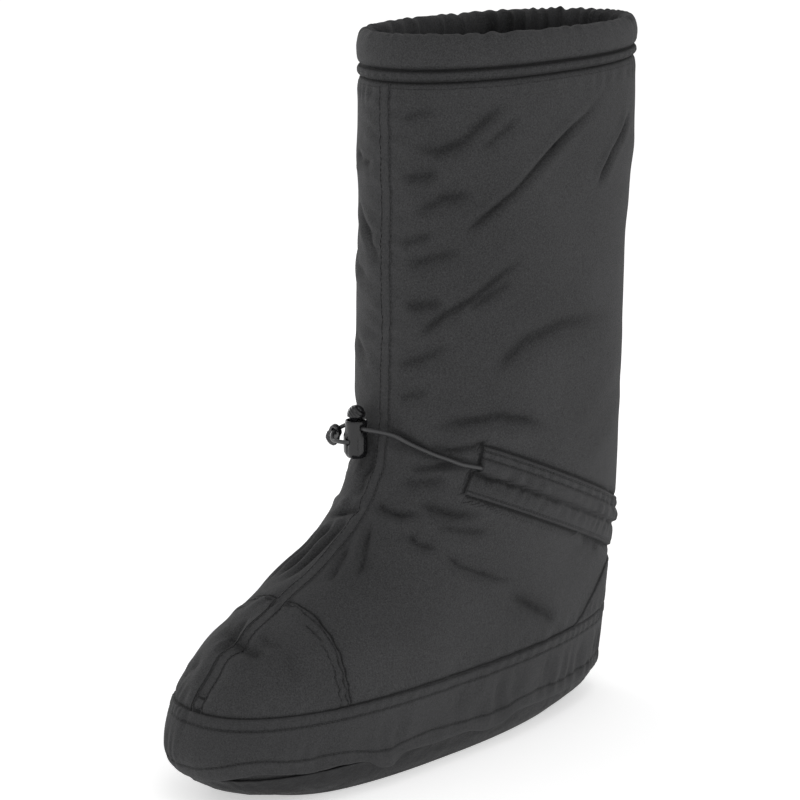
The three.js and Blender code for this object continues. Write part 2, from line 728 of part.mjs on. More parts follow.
// Tab on the loop: a flat oval grip with an eye, hung on the loop's far side.
function tabGeometry() {
  const share = 5 / (LOOP_POINTS.length - 1);
  const eye = loopPath.getPoint(share);
  const along = loopPath.getTangent(share);
  const half = TAB_WIDTH / 2;
  const straight = TAB_LENGTH / 2 - half;
  const steps = 8;
  const oval = [];
  for (let i = 0; i < 2 * steps; i += 1) {
    const upper = i < steps;
    const angle = (i / (steps - 1) - (upper ? 0 : 1 / (steps - 1))) * Math.PI;
    const radius = upper ? half * 0.8 : half;
    const middle = upper ? straight : -straight;
    oval.push(new THREE.Vector2(radius * Math.cos(angle), middle + radius * Math.sin(angle)));
  }
  const outline = new THREE.Shape(oval);
  const bevel = 0.6;
  const geometry = new THREE.ExtrudeGeometry(outline, {
    depth: TAB_THICKNESS - 2 * bevel,
    bevelEnabled: true,
    bevelThickness: bevel,
    bevelSize: bevel,
    bevelOffset: -bevel,
    bevelSegments: 1,
    steps: 1,
  });
  geometry.translate(0, -TAB_EYE, bevel - TAB_THICKNESS / 2);
  const eyeRadius = CORD_DIAMETER / 2 + 3 * CLEARANCE;
  const punch = rod([0, 0, -TAB_THICKNESS], [0, 0, TAB_THICKNESS], eyeRadius);
  const punched = toGeometry(toManifold(geometry).subtract(punch));
  const axisY = TAB_HANG.clone().normalize();
  const axisZ = along.clone().addScaledVector(axisY, -along.dot(axisY)).normalize();
  const axisX = axisY.clone().cross(axisZ);
  const frame = new THREE.Matrix4().makeBasis(axisX, axisY, axisZ).setPosition(eye);
  return punched.applyMatrix4(frame);
}

// Materials: charcoal woven nylon, its coated cloth, wadding lining, cord and hard plastic

const cloth = (color, roughness) => () =>
  new THREE.MeshStandardMaterial({ color, roughness, metalness: 0, flatShading: true });
const nylon = cloth(0x3c3c3e, 0.85);
const coated = cloth(0x323234, 0.7);
const lining = cloth(0x1c1c1e, 0.95);
const cord = cloth(0x2a2a2c, 0.6);
const plastic = cloth(0x18181a, 0.4);

const overshoe = new THREE.Group();

function add(name, geometry, material, placed = null) {
  const mesh = new THREE.Mesh(geometry, material());
  mesh.name = name;
  if (placed) mesh.applyMatrix4(placed);
  overshoe.add(mesh);
}

add('sole', soleGeometry(), coated);
add('insole', insoleGeometry(), lining);
add('upper', upperGeometry(), nylon);
add('rand', randGeometry(), coated);
add('toe_panel_left', toePanelGeometry(1), nylon);
add('toe_panel_right', toePanelGeometry(-1), nylon);
add('heel_counter', counterGeometry(), nylon);
add('front_seam', frontSeamGeometry(), nylon);
add('ankle_band', bandGeometry(), nylon);
add('collar', collarGeometry(), nylon);
add('cord_left', leftCordGeometry(), cord);
add('cord_right', rightCordGeometry(), cord);
add('cord_loop', loopCordGeometry(), cord);
add('cord_tab', tabGeometry(), plastic);
add('lock_barrel', barrelGeometry(), plastic, lockFrame);
add('lock_button', buttonGeometry(), plastic, lockFrame);

export default overshoe;
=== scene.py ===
# %% [markdown]
# # An insulated winter overshoe
# The real thing is a tall bag of padded nylon in the shape of a boot, pulled on over a
# shoe. A closed frame of solids says how big it is and where each piece lies. This lesson
# sews the visible cloth over that frame: every surface is a formula worked out on a grid,
# so a seam, a fold or a row of stitches can be placed by its height and its turn.

# %% Load the frame
import bpy
import numpy as np
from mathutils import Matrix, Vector


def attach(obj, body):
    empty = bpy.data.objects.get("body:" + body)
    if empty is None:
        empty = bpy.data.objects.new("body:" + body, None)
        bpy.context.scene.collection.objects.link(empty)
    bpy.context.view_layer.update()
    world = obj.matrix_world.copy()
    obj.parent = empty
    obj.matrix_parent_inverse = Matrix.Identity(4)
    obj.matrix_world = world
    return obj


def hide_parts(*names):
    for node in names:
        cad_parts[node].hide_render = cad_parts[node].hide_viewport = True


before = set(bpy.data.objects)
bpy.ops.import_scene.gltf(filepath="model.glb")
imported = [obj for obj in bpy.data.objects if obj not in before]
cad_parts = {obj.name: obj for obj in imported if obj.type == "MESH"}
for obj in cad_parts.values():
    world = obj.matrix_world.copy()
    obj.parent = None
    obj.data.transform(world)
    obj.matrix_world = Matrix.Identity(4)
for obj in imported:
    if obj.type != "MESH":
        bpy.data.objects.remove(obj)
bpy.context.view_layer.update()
BODY = "overshoe"
BUTTON_BODY = "lock_button"
MM = 0.001

# %% [markdown]
# The camera comes first. A long lens from a metre and a half away flattens the boot as a product picture does.
# The eye and the point it looks at are two places beside the boot, in millimetres.

# %% Camera
EYE = (1082.8, -1093.9, 551.7)
LOOK_AT = (-15.05, 12.46, 208.29)
LENS = 117.4


def make_camera():
    """A camera at EYE, its axis through LOOK_AT, upright."""
    data = bpy.data.cameras.new("camera")
    data.lens = LENS
    data.sensor_width = 36
    data.clip_end = 200
    camera = bpy.data.objects.new("camera", data)
    bpy.context.scene.collection.objects.link(camera)
    camera.location = Vector(EYE) * MM
    camera.rotation_mode = "QUATERNION"
    camera.rotation_quaternion = (Vector(LOOK_AT) - Vector(EYE)).to_track_quat("-Z", "Y")
    bpy.context.scene.camera = camera
    return camera


camera = make_camera()
print("camera", round((Vector(EYE) - Vector(LOOK_AT)).length), "mm from the middle")

# %% [markdown]
# A boot's outside could be sculpted by hand, but then nothing sewn on it would fit. Here it
# is a stack of squared-off ovals, one for each height. Five numbers describe an oval: where
# its front and back lie, its half width, how square it is, and how much wider it grows
# towards the toe. Between the rows of the table the numbers follow a smooth curve.

# %% Ovals of the foot and the shaft
FOOT_LENGTH = 350
BALL_WIDTH = 116
INSTEP_HEIGHT = 180
BOOT_HEIGHT = 436
SHAFT_DEPTH = 187
SHAFT_WIDTH = 135
WALL = 4
COLLAR_HEIGHT = 30
COLLAR_CLIMB = 9.5
RIM_DROP = 3
WALL_TOP = BOOT_HEIGHT - COLLAR_HEIGHT
# height, front, back and half width as shares of the foot's sizes; squareness; egg
FOOT_OVALS = np.array([
    (0.000, -0.394, 0.389, 0.397, 2.40, 0.16),
    (0.067, -0.466, 0.463, 0.453, 2.40, 0.16),
    (0.178, -0.506, 0.483, 0.500, 2.40, 0.16),
    (0.311, -0.483, 0.494, 0.513, 2.40, 0.16),
    (0.444, -0.426, 0.503, 0.496, 2.40, 0.14),
    (0.583, -0.303, 0.511, 0.474, 2.35, 0.10),
    (0.722, -0.169, 0.509, 0.491, 2.30, 0.05),
    (0.861, -0.091, 0.500, 0.526, 2.25, 0.02),
])
# the same, as shares of the shaft's sizes
SHAFT_OVALS = np.array([
    (0.000, -0.1000, 0.920, 0.481, 2.20, 0),
    (0.096, -0.0856, 0.909, 0.504, 2.20, 0),
    (0.231, -0.0830, 0.906, 0.511, 2.20, 0),
    (0.423, -0.0800, 0.920, 0.496, 2.20, 0),
    (0.615, -0.0800, 0.952, 0.489, 2.20, 0),
    (0.827, -0.0856, 0.976, 0.478, 2.20, 0),
    (1.000, -0.0800, 0.968, 0.463, 2.20, 0),
])
foot_scale = (INSTEP_HEIGHT, FOOT_LENGTH, FOOT_LENGTH, BALL_WIDTH, 1, 1)
shaft_scale = (BOOT_HEIGHT - INSTEP_HEIGHT, SHAFT_DEPTH, SHAFT_DEPTH, SHAFT_WIDTH, 1, 1)
shaft_start = (INSTEP_HEIGHT, 0, 0, 0, 0, 0)
OVALS = np.vstack([FOOT_OVALS * foot_scale, SHAFT_OVALS * shaft_scale + shaft_start])


def smooth_column(index):
    """Cubic pieces through one column; each slope is the harmonic mean of its neighbours."""
    x, y = OVALS[:, 0], OVALS[:, index]
    rise = np.diff(y) / np.diff(x)
    same = rise[:-1] * rise[1:] > 0
    total = np.where(same, rise[:-1] + rise[1:], 1)
    slope = np.concatenate([rise[:1], np.where(same, 2 * rise[:-1] * rise[1:] / total, 0), rise[-1:]])

    def value(height):
        h = np.clip(height, x[0], x[-1])
        i = np.clip(np.searchsorted(x, h, side="right") - 1, 0, len(x) - 2)
        span = x[i + 1] - x[i]
        s = (h - x[i]) / span
        ends = (2 * s**3 - 3 * s**2 + 1) * y[i] + (3 * s**2 - 2 * s**3) * y[i + 1]
        tangents = (s**3 - 2 * s**2 + s) * slope[i] + (s**3 - s**2) * slope[i + 1]
        return ends + tangents * span

    return value


front, back, half, power, egg = [smooth_column(i) for i in range(1, 6)]
print("rows of ovals", len(OVALS))

# %% Points on the boot
def smoothstep(value, low, high):
    """0 below low, 1 above high, and 3s^2 - 2s^3 between."""
    s = np.clip((value - low) / (high - low), 0, 1)
    return s * s * (3 - 2 * s)


def signed_power(value, exponent):
    return np.sign(value) * np.abs(value) ** exponent


def skin(turn, z):
    """turn, in degrees round from the toe towards +X, and a height give a point, in mm."""
    t = np.radians(turn)
    exponent = 2 / power(z)
    x = half(z) * signed_power(np.sin(t), exponent) * (1 + egg(z) * np.cos(t))
    middle, reach = (front(z) + back(z)) / 2, (back(z) - front(z)) / 2
    y = middle - reach * signed_power(np.cos(t), exponent)
    return np.stack(np.broadcast_arrays(x, y, z * 1.0), -1)


def unit(vectors):
    return vectors / np.linalg.norm(vectors, axis=-1, keepdims=True)


def outward(turn, z):
    """The way out: round the boot crossed with up the boot, made level near the sole."""
    round_way = skin(turn + 0.05, z) - skin(turn - 0.05, z)
    up_way = skin(turn, z + 0.5) - skin(turn, z - 0.5)
    normal = unit(np.cross(round_way, up_way))
    normal[..., 2] *= smoothstep(z, 20, 50)
    return unit(normal)


def at(turn, z, stand):
    """The point that stands off the skin by stand, in mm."""
    turn, z, stand = np.broadcast_arrays(turn, z * 1.0, stand * 1.0)
    return skin(turn, z) + outward(turn, z) * stand[..., None]


def even_heights(low, high, count, turns=(0, 60, 120)):
    """Heights that are evenly spaced along the cloth, averaged over a few turns."""
    z = np.linspace(low, high, 600)
    steps = sum(np.linalg.norm(np.diff(skin(turn, z), axis=0), axis=1) for turn in turns)
    length = np.concatenate([[0], np.cumsum(steps)])
    return np.interp(np.linspace(0, length[-1], count), length, z)


def turn_at(y, z):
    """The turn on the +X side where the oval at height z reaches y."""
    middle, reach = (front(z) + back(z)) / 2, (back(z) - front(z)) / 2
    along = np.clip((middle - y) / reach, -1, 1)
    return np.degrees(np.arccos(signed_power(along, power(z) / 2)))


def turn_beside(x, z):
    """The turn near the toe line where the oval at height z is x wide."""
    share = np.clip(x / (half(z) * (1 + egg(z))), -1, 1)
    return np.degrees(np.arcsin(signed_power(share, power(z) / 2)))


print("toe tip at y", round(float(skin(0, 32.0)[1]), 1), "mm")

# %% [markdown]
# Folds are what makes padded cloth look like cloth. A cloth simulation of a whole boot
# would crumple it somewhere else each time, so the folds are listed instead: each is
# a line of places on the boot, with a soft trough along it and a ridge beside it. The
# places are in degrees of turn and millimetres of height.

# %% Listed folds
# depth, half width, ridge share, then the line's places
FOLDS = [
    # the long diagonal over the side of the shaft, and its neighbour by the back
    (3.0, 2.4, 0.5, [(106, 399), (90, 379), (76, 360), (63, 342), (47, 325), (38, 316)]),
    (2.4, 2.4, 0.5, [(127, 382), (110, 359), (98, 336)]),
    # the arc from the seam up the shaft
    (2.2, 5.0, 0.5, [(61, 396), (50, 384), (40, 372), (28, 366), (12, 370)]),
    (1.5, 3.4, 0.5, [(66, 386), (56, 375), (47, 366)]),
    # short gathers along the front seam
    (2.0, 5.2, 0.4, [(46, 341), (31, 339), (13, 327)]),
    (1.8, 4.6, 0.4, [(27, 318), (17, 314), (7, 309)]),
    (1.8, 5.0, 0.4, [(41, 308), (24, 303), (9, 297)]),
    (1.4, 4.2, 0.4, [(30, 391), (17, 387), (9, 384)]),
    (2.0, 5.4, 0.4, [(31, 355), (20, 351), (7, 349)]),
    (2.2, 5.2, 0.4, [(33, 277), (20, 275), (8, 273)]),
    (1.8, 5.2, 0.4, [(36, 253), (18, 242), (6, 237)]),
    (1.4, 4.6, 0.4, [(26, 224), (14, 220), (7, 217)]),
    # the lower diagonal and the soft hollow behind it
    (2.3, 3.8, 0.5, [(71, 305), (58, 294), (44, 279), (31, 270), (22, 261), (18, 254)]),
    (1.6, 4.0, 0.5, [(64, 290), (52, 281), (42, 272)]),
    (2.2, 7.0, 0.4, [(118, 258), (85, 260), (69, 253), (60, 243), (53, 232)]),
    # the drawcord's own groove
    (2.4, 4.4, 0.25, [(356, 199), (2, 198), (8, 195), (15, 191.7), (22, 188.6), (29, 185.6), (36, 182.8),
                      (43, 180), (52, 177)]),
    # round the drawcord at the ankle
    (2.6, 4.6, 0.5, [(21, 200), (39, 205), (57, 208), (69, 204), (82, 195)]),
    (2.6, 2.6, 0.5, [(24, 191), (36, 188), (46, 190), (54, 195)]),
    (2.8, 2.6, 0.5, [(14, 176), (25, 177), (36, 180), (47, 184)]),
    (1.8, 4.0, 0.5, [(12, 168), (26, 169), (40, 171)]),
    (3.0, 2.8, 0.5, [(4, 157), (12, 153), (22, 151), (34, 152)]),
    (3.6, 4.2, 0.5, [(26, 158), (38, 154), (50, 150), (62, 148)]),
    (1.9, 3.4, 0.5, [(40, 145), (56, 141), (72, 136)]),
    # the bend of the vamp
    (2.6, 3.4, 0.7, [(2, 151), (354, 149), (346, 146), (336, 143)]),
    (2.0, 3.0, 0.5, [(357, 190), (355, 178), (354, 166), (354, 154)]),
    (2.2, 2.6, 0.6, [(356, 146), (352, 130), (349, 112)]),
    (2.4, 2.6, 0.6, [(348, 143), (344, 128), (341, 112)]),
    (2.0, 2.6, 0.6, [(338, 139), (334, 122), (331, 106)]),
    (1.9, 2.4, 0.5, [(8, 148), (13, 137), (20, 127), (25, 119)]),
    (1.5, 2.2, 0.5, [(4, 136), (8, 126), (13, 117)]),
    (2.0, 2.8, 0.5, [(30, 143), (39, 136), (52, 132)]),
    # the quarter, its dimple and the heel
    (1.7, 2.6, 0.5, [(53, 131), (66, 121), (80, 112), (96, 99)]),
    (2.4, 5.5, 0.5, [(90, 97), (99, 86), (108, 74), (114, 66)]),
    (1.2, 5.0, 0.4, [(112, 118), (124, 108), (134, 98)]),
    (1.4, 4.0, 0.4, [(125, 146), (134, 130), (138, 112)]),
    # the toe box, with the dent beside its seam
    (3.8, 6.0, 0.3, [(345, 94), (353, 91), (1, 89), (12, 87), (20, 86)]),
    (1.6, 2.0, 0.4, [(352, 99), (355, 91), (357, 82)]),
    (1.6, 3.6, 0.4, [(4, 95), (12, 92), (22, 90)]),
    (0.7, 5.0, 0.4, [(22, 92), (30, 82), (38, 74)]),
    (1.0, 4.4, 0.5, [(350, 80), (344, 72), (338, 64)]),
    # the shaft's far side
    (2.3, 3.0, 0.45, [(258, 392), (275, 372), (292, 356), (312, 340), (322, 330)]),
    (1.8, 3.6, 0.5, [(328, 362), (340, 357), (353, 355)]),
    (2.0, 3.2, 0.5, [(329, 334), (340, 322), (349, 312), (357, 295)]),
    (1.7, 3.6, 0.5, [(300, 318), (318, 304), (336, 290), (350, 286)]),
    (1.6, 3.8, 0.5, [(322, 252), (336, 244), (350, 235)]),
    (2.0, 4.4, 0.5, [(262, 300), (280, 286), (300, 268), (316, 262)]),
    (2.1, 6.0, 0.4, [(244, 262), (268, 252), (290, 240), (304, 230)]),
    (2.0, 4.2, 0.4, [(280, 196), (300, 205), (320, 204), (340, 199)]),
    (2.2, 3.6, 0.5, [(310, 190), (326, 186), (342, 184)]),
    (2.4, 3.4, 0.5, [(312, 180), (326, 178), (342, 175)]),
    (2.6, 4.2, 0.5, [(300, 150), (316, 153), (332, 155)]),
    (1.6, 3.0, 0.5, [(268, 112), (284, 122), (300, 132)]),
    (1.7, 4.6, 0.5, [(254, 76), (262, 86), (272, 94)]),
    # the back of the shaft
    (2.0, 3.6, 0.5, [(150, 366), (166, 350), (184, 338), (200, 332)]),
    (1.8, 4.2, 0.5, [(232, 352), (216, 334), (196, 318), (176, 312)]),
    (2.2, 4.6, 0.5, [(148, 288), (166, 272), (188, 262), (212, 260)]),
    (2.0, 4.2, 0.5, [(226, 236), (206, 226), (184, 222), (158, 228)]),
    (1.6, 3.6, 0.5, [(140, 202), (160, 206), (182, 204), (206, 208)]),
    (1.7, 4.6, 0.5, [(160, 124), (180, 119), (202, 123)]),
]


def fold(points, normals, line, depth, width, ridge, creases=None):
    """Displacement of points by one fold: minus a bell along the line, plus a wider bell
    beside it, both fading towards the line's ends. Where creases is given, it keeps each
    point's distance to its nearest fold, in 2.4ths of its width, and the painted shade's strength."""
    turns, heights = np.array(line, float).T
    turns = np.degrees(np.unwrap(np.radians(turns)))
    share = np.linspace(0, 1, len(line))
    fine = np.linspace(0, 1, 9 * (len(line) - 1) + 1)
    path = skin(np.interp(fine, share, turns), np.interp(fine, share, heights))
    start, step = path[:-1], np.diff(path, axis=0)
    moved = np.zeros(len(points))
    low, high = path.min(0) - 6 * width, path.max(0) + 6 * width
    near = np.flatnonzero(((points > low) & (points < high)).all(1))
    if not len(near):
        return moved
    offset = points[near, None] - start
    along = np.clip((offset * step).sum(-1) / (step**2).sum(-1), 0, 1)
    gap = offset - along[..., None] * step
    distance = np.linalg.norm(gap, axis=-1)
    best = distance.argmin(1)
    pick = np.arange(len(near))
    where = (best + along[pick, best]) / len(step)
    across = np.cross(step[best], normals[near])
    side = np.sign((across * gap[pick, best]).sum(-1))
    s = side * distance[pick, best] / width
    fade = smoothstep(where, 0, 0.3) * (1 - smoothstep(where, 0.7, 1))
    wander = 1 + 0.25 * np.sin(13 * where + heights[0])
    beside = np.exp(-(((np.abs(s) - 2.1) / 1.2) ** 2)) * np.where(s > 0, 1.0, 0.45)
    moved[near] = depth * fade * wander * (ridge * beside - np.exp(-(np.abs(s) ** 1.4)))
    if creases is not None:
        reach = np.abs(s) * 2.4
        nearer = reach < np.abs(creases[near, 0])
        marked = near[nearer]
        strength = min(1.0, depth / 2.4) * fade * (1 - smoothstep(reach, 5, 9))
        creases[marked, 0] = reach[nearer]
        creases[marked, 1] = strength[nearer]
    return moved


print("folds", len(FOLDS))

# %% [markdown]
# Between the folds the wadding makes the cloth swell and sink a little everywhere. Sixty
# long soft dents, drawn once from a seeded generator, do that. Along each seam the thread
# pulls the cloth into small even gathers, which are waves that die away from the seam.

# %% Swell, gathers and the whole relief
generator = np.random.default_rng(7)
DENTS = 90
dent_turn = generator.uniform(0, 360, DENTS)
dent_height = generator.uniform(66, 398, DENTS)
dent_depth = generator.uniform(-1.1, 1.0, DENTS)
dent_long = generator.uniform(20, 46, DENTS)
dent_wide = generator.uniform(7, 15, DENTS)
dent_lean = generator.uniform(-1.5, 1.5, DENTS)
SEAM_HALF = 4.7
RAND_TOP = 56
TOE_SEAM = 100
BAND_SLOPE = 0.42
BAND_LEVEL = INSTEP_HEIGHT - 16.5
BAND_WIDTH = 33
BAND_START = 51
CHANNEL = 20.7


def collar_foot(turn):
    """Height of the seam under the collar, which climbs towards the back as a cosine."""
    return WALL_TOP + COLLAR_CLIMB * (1 - np.cos(np.radians(turn))) / 2


def gather(length, pitch, phase):
    """An uneven wave along a seam, from -1 to 1."""
    return np.sin(2 * np.pi * length / pitch + 1.6 * np.sin(2 * np.pi * length / 67 + phase) + phase)


def sewn_lines(points, turn, z):
    """Distances in mm to the edges of the pieces sewn on, where each exists, how sharp."""
    from_toe = 180 - np.abs(180 - turn)
    level = z + BAND_SLOPE * points[:, 1]
    square = np.hypot(1, BAND_SLOPE)
    beyond = smoothstep(from_toe, BAND_START - 4, BAND_START - 1)
    mouth = BAND_START - 0.7 - 3 * (level < BAND_LEVEL + CHANNEL - 4.5)
    in_band = smoothstep(level, BAND_LEVEL - 2, BAND_LEVEL) * (1 - smoothstep(level, BAND_LEVEL + 33, BAND_LEVEL + 35))
    on_toe = (z < 116) * smoothstep(np.abs(points[:, 0]), 3, 6)
    return [
        ((level - BAND_LEVEL + 0.9) / square, beyond, 1.25),
        ((level - BAND_LEVEL - BAND_WIDTH - 0.9) / square, beyond, 1.25),
        ((from_toe - mouth) * 1.35, in_band, 1.3),
        (points[:, 1] + TOE_SEAM - 0.6 + 0.4 * np.sin(z / 1.4), on_toe, 2.2),
        (z - RAND_TOP - 0.6, np.ones(len(z)), 2.0),
        (z - collar_foot(turn) + 0.4, np.ones(len(z)), 1.3),
    ]


def dents(points):
    """The sum of stretched bells, each lying along its own slanting direction."""
    total = np.zeros(len(points))
    centres = skin(dent_turn, dent_height)
    around = unit(skin(dent_turn + 1, dent_height) - skin(dent_turn - 1, dent_height))
    upward = unit(skin(dent_turn, dent_height + 1) - skin(dent_turn, dent_height - 1))
    way = unit(around + upward * dent_lean[:, None])
    for centre, line, depth, long, wide in zip(centres, way, dent_depth, dent_long, dent_wide):
        gap = points - centre
        along = gap @ line
        across = (gap**2).sum(1) - along**2
        total += depth * np.exp(-((along / long) ** 2) - across / wide**2)
    return total


def relief(turn, z):
    """How far the cloth stands off the plain skin, in mm: folds, dents and gathers."""
    turn, z = np.broadcast_arrays(np.mod(turn, 360) * 1.0, z * 1.0)
    shape = turn.shape
    turn, z = turn.ravel(), z.ravel()
    points, normals = skin(turn, z), outward(turn, z)
    total = dents(points)
    for depth, width, ridge, line in FOLDS:
        total += fold(points, normals, line, depth, width, ridge)
    beside = np.abs(points[:, 0]) + 200 * (points[:, 1] > 40)
    path = z - 0.8 * points[:, 1]
    total += 0.75 * gather(path, 15, 0.4) * np.exp(-(((beside - 11) / 7) ** 2))
    total += 0.3 * gather(path, 8.5, 1.9) * np.exp(-(((beside - 6) / 4) ** 2))
    total -= 0.12 * np.exp(-(((beside - SEAM_HALF - 1) / 1.6) ** 2))
    swell = skin(np.float64(343.0), np.float64(168.0))
    total += 3.6 * np.exp(-(((points - swell) / (11, 12, 12)) ** 2).sum(1))
    reach = np.radians(turn) * np.hypot(half(z), 90)
    foot = collar_foot(turn)
    total += 0.5 * gather(reach, 14, 1.1) * np.exp(-(((foot - 7 - z) / 6) ** 2))
    total += 0.35 * gather(reach, 11, 2.3) * np.exp(-(((z - 61) / 5) ** 2))
    total *= smoothstep(z, 40, 60) * (1 - smoothstep(z, foot - 10, foot))
    total -= 0.8 * np.exp(-(((z - foot) / 3) ** 2))
    for gap, strength, sharp in sewn_lines(points, turn, z):
        total -= 0.7 * strength * np.exp(-((gap * sharp / 1.9) ** 2))
    across_toe = np.exp(-(((points[:, 1] + TOE_SEAM + 4) / 4.5) ** 2)) * (z < 116)
    total += 0.45 * across_toe * gather(z * 1.2 + np.abs(points[:, 0]), 8.3, 0.7)
    return total.reshape(shape)


def crease_marks(turn, z, sewn=True):
    """For each point, the distance to its nearest fold or sewn line and how strong its painted shade is."""
    turn, z = np.broadcast_arrays(np.mod(turn, 360) * 1.0, z * 1.0)
    points, normals = skin(turn.ravel(), z.ravel()), outward(turn.ravel(), z.ravel())
    marks = np.tile([10.0, 0.0], (len(points), 1))
    for depth, width, ridge, line in FOLDS:
        fold(points, normals, line, depth, width, ridge, marks)
    for gap, strength, sharp in sewn_lines(points, turn.ravel(), z.ravel()) if sewn else ():
        reach = np.abs(gap) * sharp
        closer = (reach < np.minimum(np.abs(marks[:, 0]), 6)) & (strength > 0.3)
        marks[closer] = np.stack([gap * sharp, 1.4 * strength * (1 - smoothstep(reach, 3, 6))], -1)[closer]
    return marks


def dressed(turn, z, stand):
    """A point that stands off the folded cloth by stand."""
    return at(turn, z, relief(turn, z) + stand)


probe = relief(np.linspace(0, 360, 90)[:, None], np.linspace(60, 400, 80)[None])
print("relief from", round(float(probe.min()), 1), "to", round(float(probe.max()), 1), "mm")

# %% [markdown]
# A grid of points becomes a mesh by joining each four neighbours into a face. A side of the
# grid that meets itself again, as round a boot or a cord, is wrapped. A tube's open ends
# are closed with a fan. Every grid also gets a UV map in metres, measured along the cloth,
# so that a weave keeps its size wherever the piece bends.

# %% From grids to meshes
def grid_faces(rows, columns, wrap_rows, wrap_columns):
    """Corners of each face as row and column numbers, anticlockwise seen from outside."""
    r, c = np.meshgrid(np.arange(rows - 1 + wrap_rows), np.arange(columns - 1 + wrap_columns), indexing="ij")
    corners = [(r, c), (r, c + 1), (r + 1, c + 1), (r + 1, c)]
    return np.stack([np.stack(pair, -1).reshape(-1, 2) for pair in corners], 1)


def cloth_lengths(grid):
    """Mean distance along the grid's columns and along its rows, running on past a wrap."""
    closed = np.concatenate([grid, grid[:1]], 0)
    up = np.linalg.norm(np.diff(closed, axis=0), axis=-1).mean(1)
    closed = np.concatenate([grid, grid[:, :1]], 1)
    over = np.linalg.norm(np.diff(closed, axis=1), axis=-1).mean(0)
    return np.concatenate([[0], np.cumsum(over)]), np.concatenate([[0], np.cumsum(up)])


def mark_creases(data, marks):
    """Keeps the crease marks as two values at each point, for the finish to paint shade from."""
    for name, values in zip(("crease_gap", "crease_strength"), np.asarray(marks).T):
        layer = data.attributes.new(name, "FLOAT", "POINT")
        padded = np.zeros(len(data.vertices))
        padded[:len(values)] = values
        layer.data.foreach_set("value", padded)


def mesh_object(name, points, faces, uvs, finishes, slots=None):
    """A mesh from points in mm; faces and uvs are lists of arrays that run in step."""
    data = bpy.data.meshes.new(name)
    data.from_pydata((points * MM).tolist(), [], [face for block in faces for face in block.tolist()])
    layer = data.uv_layers.new(name="cloth")
    layer.data.foreach_set("uv", np.concatenate([uv.reshape(-1) for uv in uvs]) * MM)
    for finish in finishes:
        data.materials.append(finish)
    if slots is not None:
        data.polygons.foreach_set("material_index", np.concatenate(slots).astype(np.int32))
    data.polygons.foreach_set("use_smooth", np.ones(len(data.polygons), bool))
    data.update()
    made = bpy.data.objects.new(name, data)
    bpy.context.scene.collection.objects.link(made)
    count = sum(len(polygon.vertices) - 2 for polygon in data.polygons)
    print(name, count, "triangles")
    return made


def surface(name, grid, finishes, wrap_rows=False, wrap_columns=True, caps=(False, False), lining_from=None):
    """A mesh on one grid; rows from lining_from on take the second finish."""
    rows, columns = grid.shape[:2]
    corners = grid_faces(rows, columns, wrap_rows, wrap_columns)
    quads = (corners[..., 0] % rows) * columns + corners[..., 1] % columns
    over, up = cloth_lengths(grid)
    faces, uvs = [quads], [np.stack([over[corners[..., 1]], up[corners[..., 0]]], -1)]
    slots = [np.zeros(len(quads)) if lining_from is None else corners[:, 0, 0] >= lining_from]
    points = grid.reshape(-1, 3)
    for row, wanted in zip((0, rows - 1), caps):
        if wanted:
            ring = row * columns + np.arange(columns)
            after = np.roll(ring, -1)
            tip = np.full(columns, len(points))
            points = np.vstack([points, grid[row].mean(0)])
            fan = np.stack([after, ring, tip] if row == 0 else [ring, after, tip], -1)
            faces.append(fan)
            uvs.append(np.zeros((columns, 3, 2)) + points[fan][..., :2])
            slots.append(np.full(columns, slots[0][0 if row == 0 else -1]))
    return mesh_object(name, points, faces, uvs, finishes, slots)


def slab(name, outer, inner, finishes):
    """A closed sheet with thickness: an outer grid, an inner grid and the edge between."""
    rows, columns = outer.shape[:2]
    half_count = rows * columns
    corners = grid_faces(rows, columns, False, False)
    quads = corners[..., 0] * columns + corners[..., 1]
    over, up = cloth_lengths(outer)
    flat = np.stack([over[corners[..., 1]], up[corners[..., 0]]], -1)
    number = np.arange(half_count).reshape(rows, columns)
    rim = np.concatenate([number[0], number[1:, -1], number[-1, -2::-1], number[-2:0:-1, 0]])
    after = np.roll(rim, -1)
    edge = np.stack([after, rim, rim + half_count, after + half_count], -1)
    points = np.vstack([outer.reshape(-1, 3), inner.reshape(-1, 3)])
    faces = [quads, quads[:, ::-1] + half_count, edge]
    uvs = [flat, flat[:, ::-1], np.zeros((len(edge), 4, 2)) + points[edge][..., 1:]]
    return mesh_object(name, points, faces, uvs, finishes)


def worn(piece, slot_name, *nodes, body=BODY):
    """The piece rides on its body and stands for its solids; slot_name is not used."""
    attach(piece, body)
    if nodes:
        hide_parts(*nodes)
    return piece


print("grid helpers ready")

# %% [markdown]
# A material's sums read better as sums than as a web of nodes. The class below wraps one
# socket, and its operators add the Math nodes. One method makes any other node: its
# settings first, then the values or links of its inputs.

# %% Shader expressions
class Expression:
    """A value inside a material; + - * / and ** with numbers or values add Math nodes."""

    def __init__(self, finish, socket):
        self.finish = finish
        self.socket = socket

    def math(self, operation, first, second=None, clamp=False):
        inputs = {0: first} if second is None else {0: first, 1: second}
        return self.finish.node("ShaderNodeMath", {"operation": operation, "use_clamp": clamp}, inputs)

    def __add__(self, other):
        return self.math("ADD", self, other)

    def __sub__(self, other):
        return self.math("SUBTRACT", self, other)

    def __rsub__(self, other):
        return self.math("SUBTRACT", other, self)

    def __mul__(self, other):
        return self.math("MULTIPLY", self, other)

    def __truediv__(self, other):
        return self.math("DIVIDE", self, other)

    def __pow__(self, other):
        return self.math("POWER", self, other)

    __radd__ = __add__
    __rmul__ = __mul__

    def sine(self):
        return self.math("SINE", self)

    def exponential(self):
        return self.math("EXPONENT", self)

    def clamped(self):
        return self.math("ADD", self, 0.0, clamp=True)


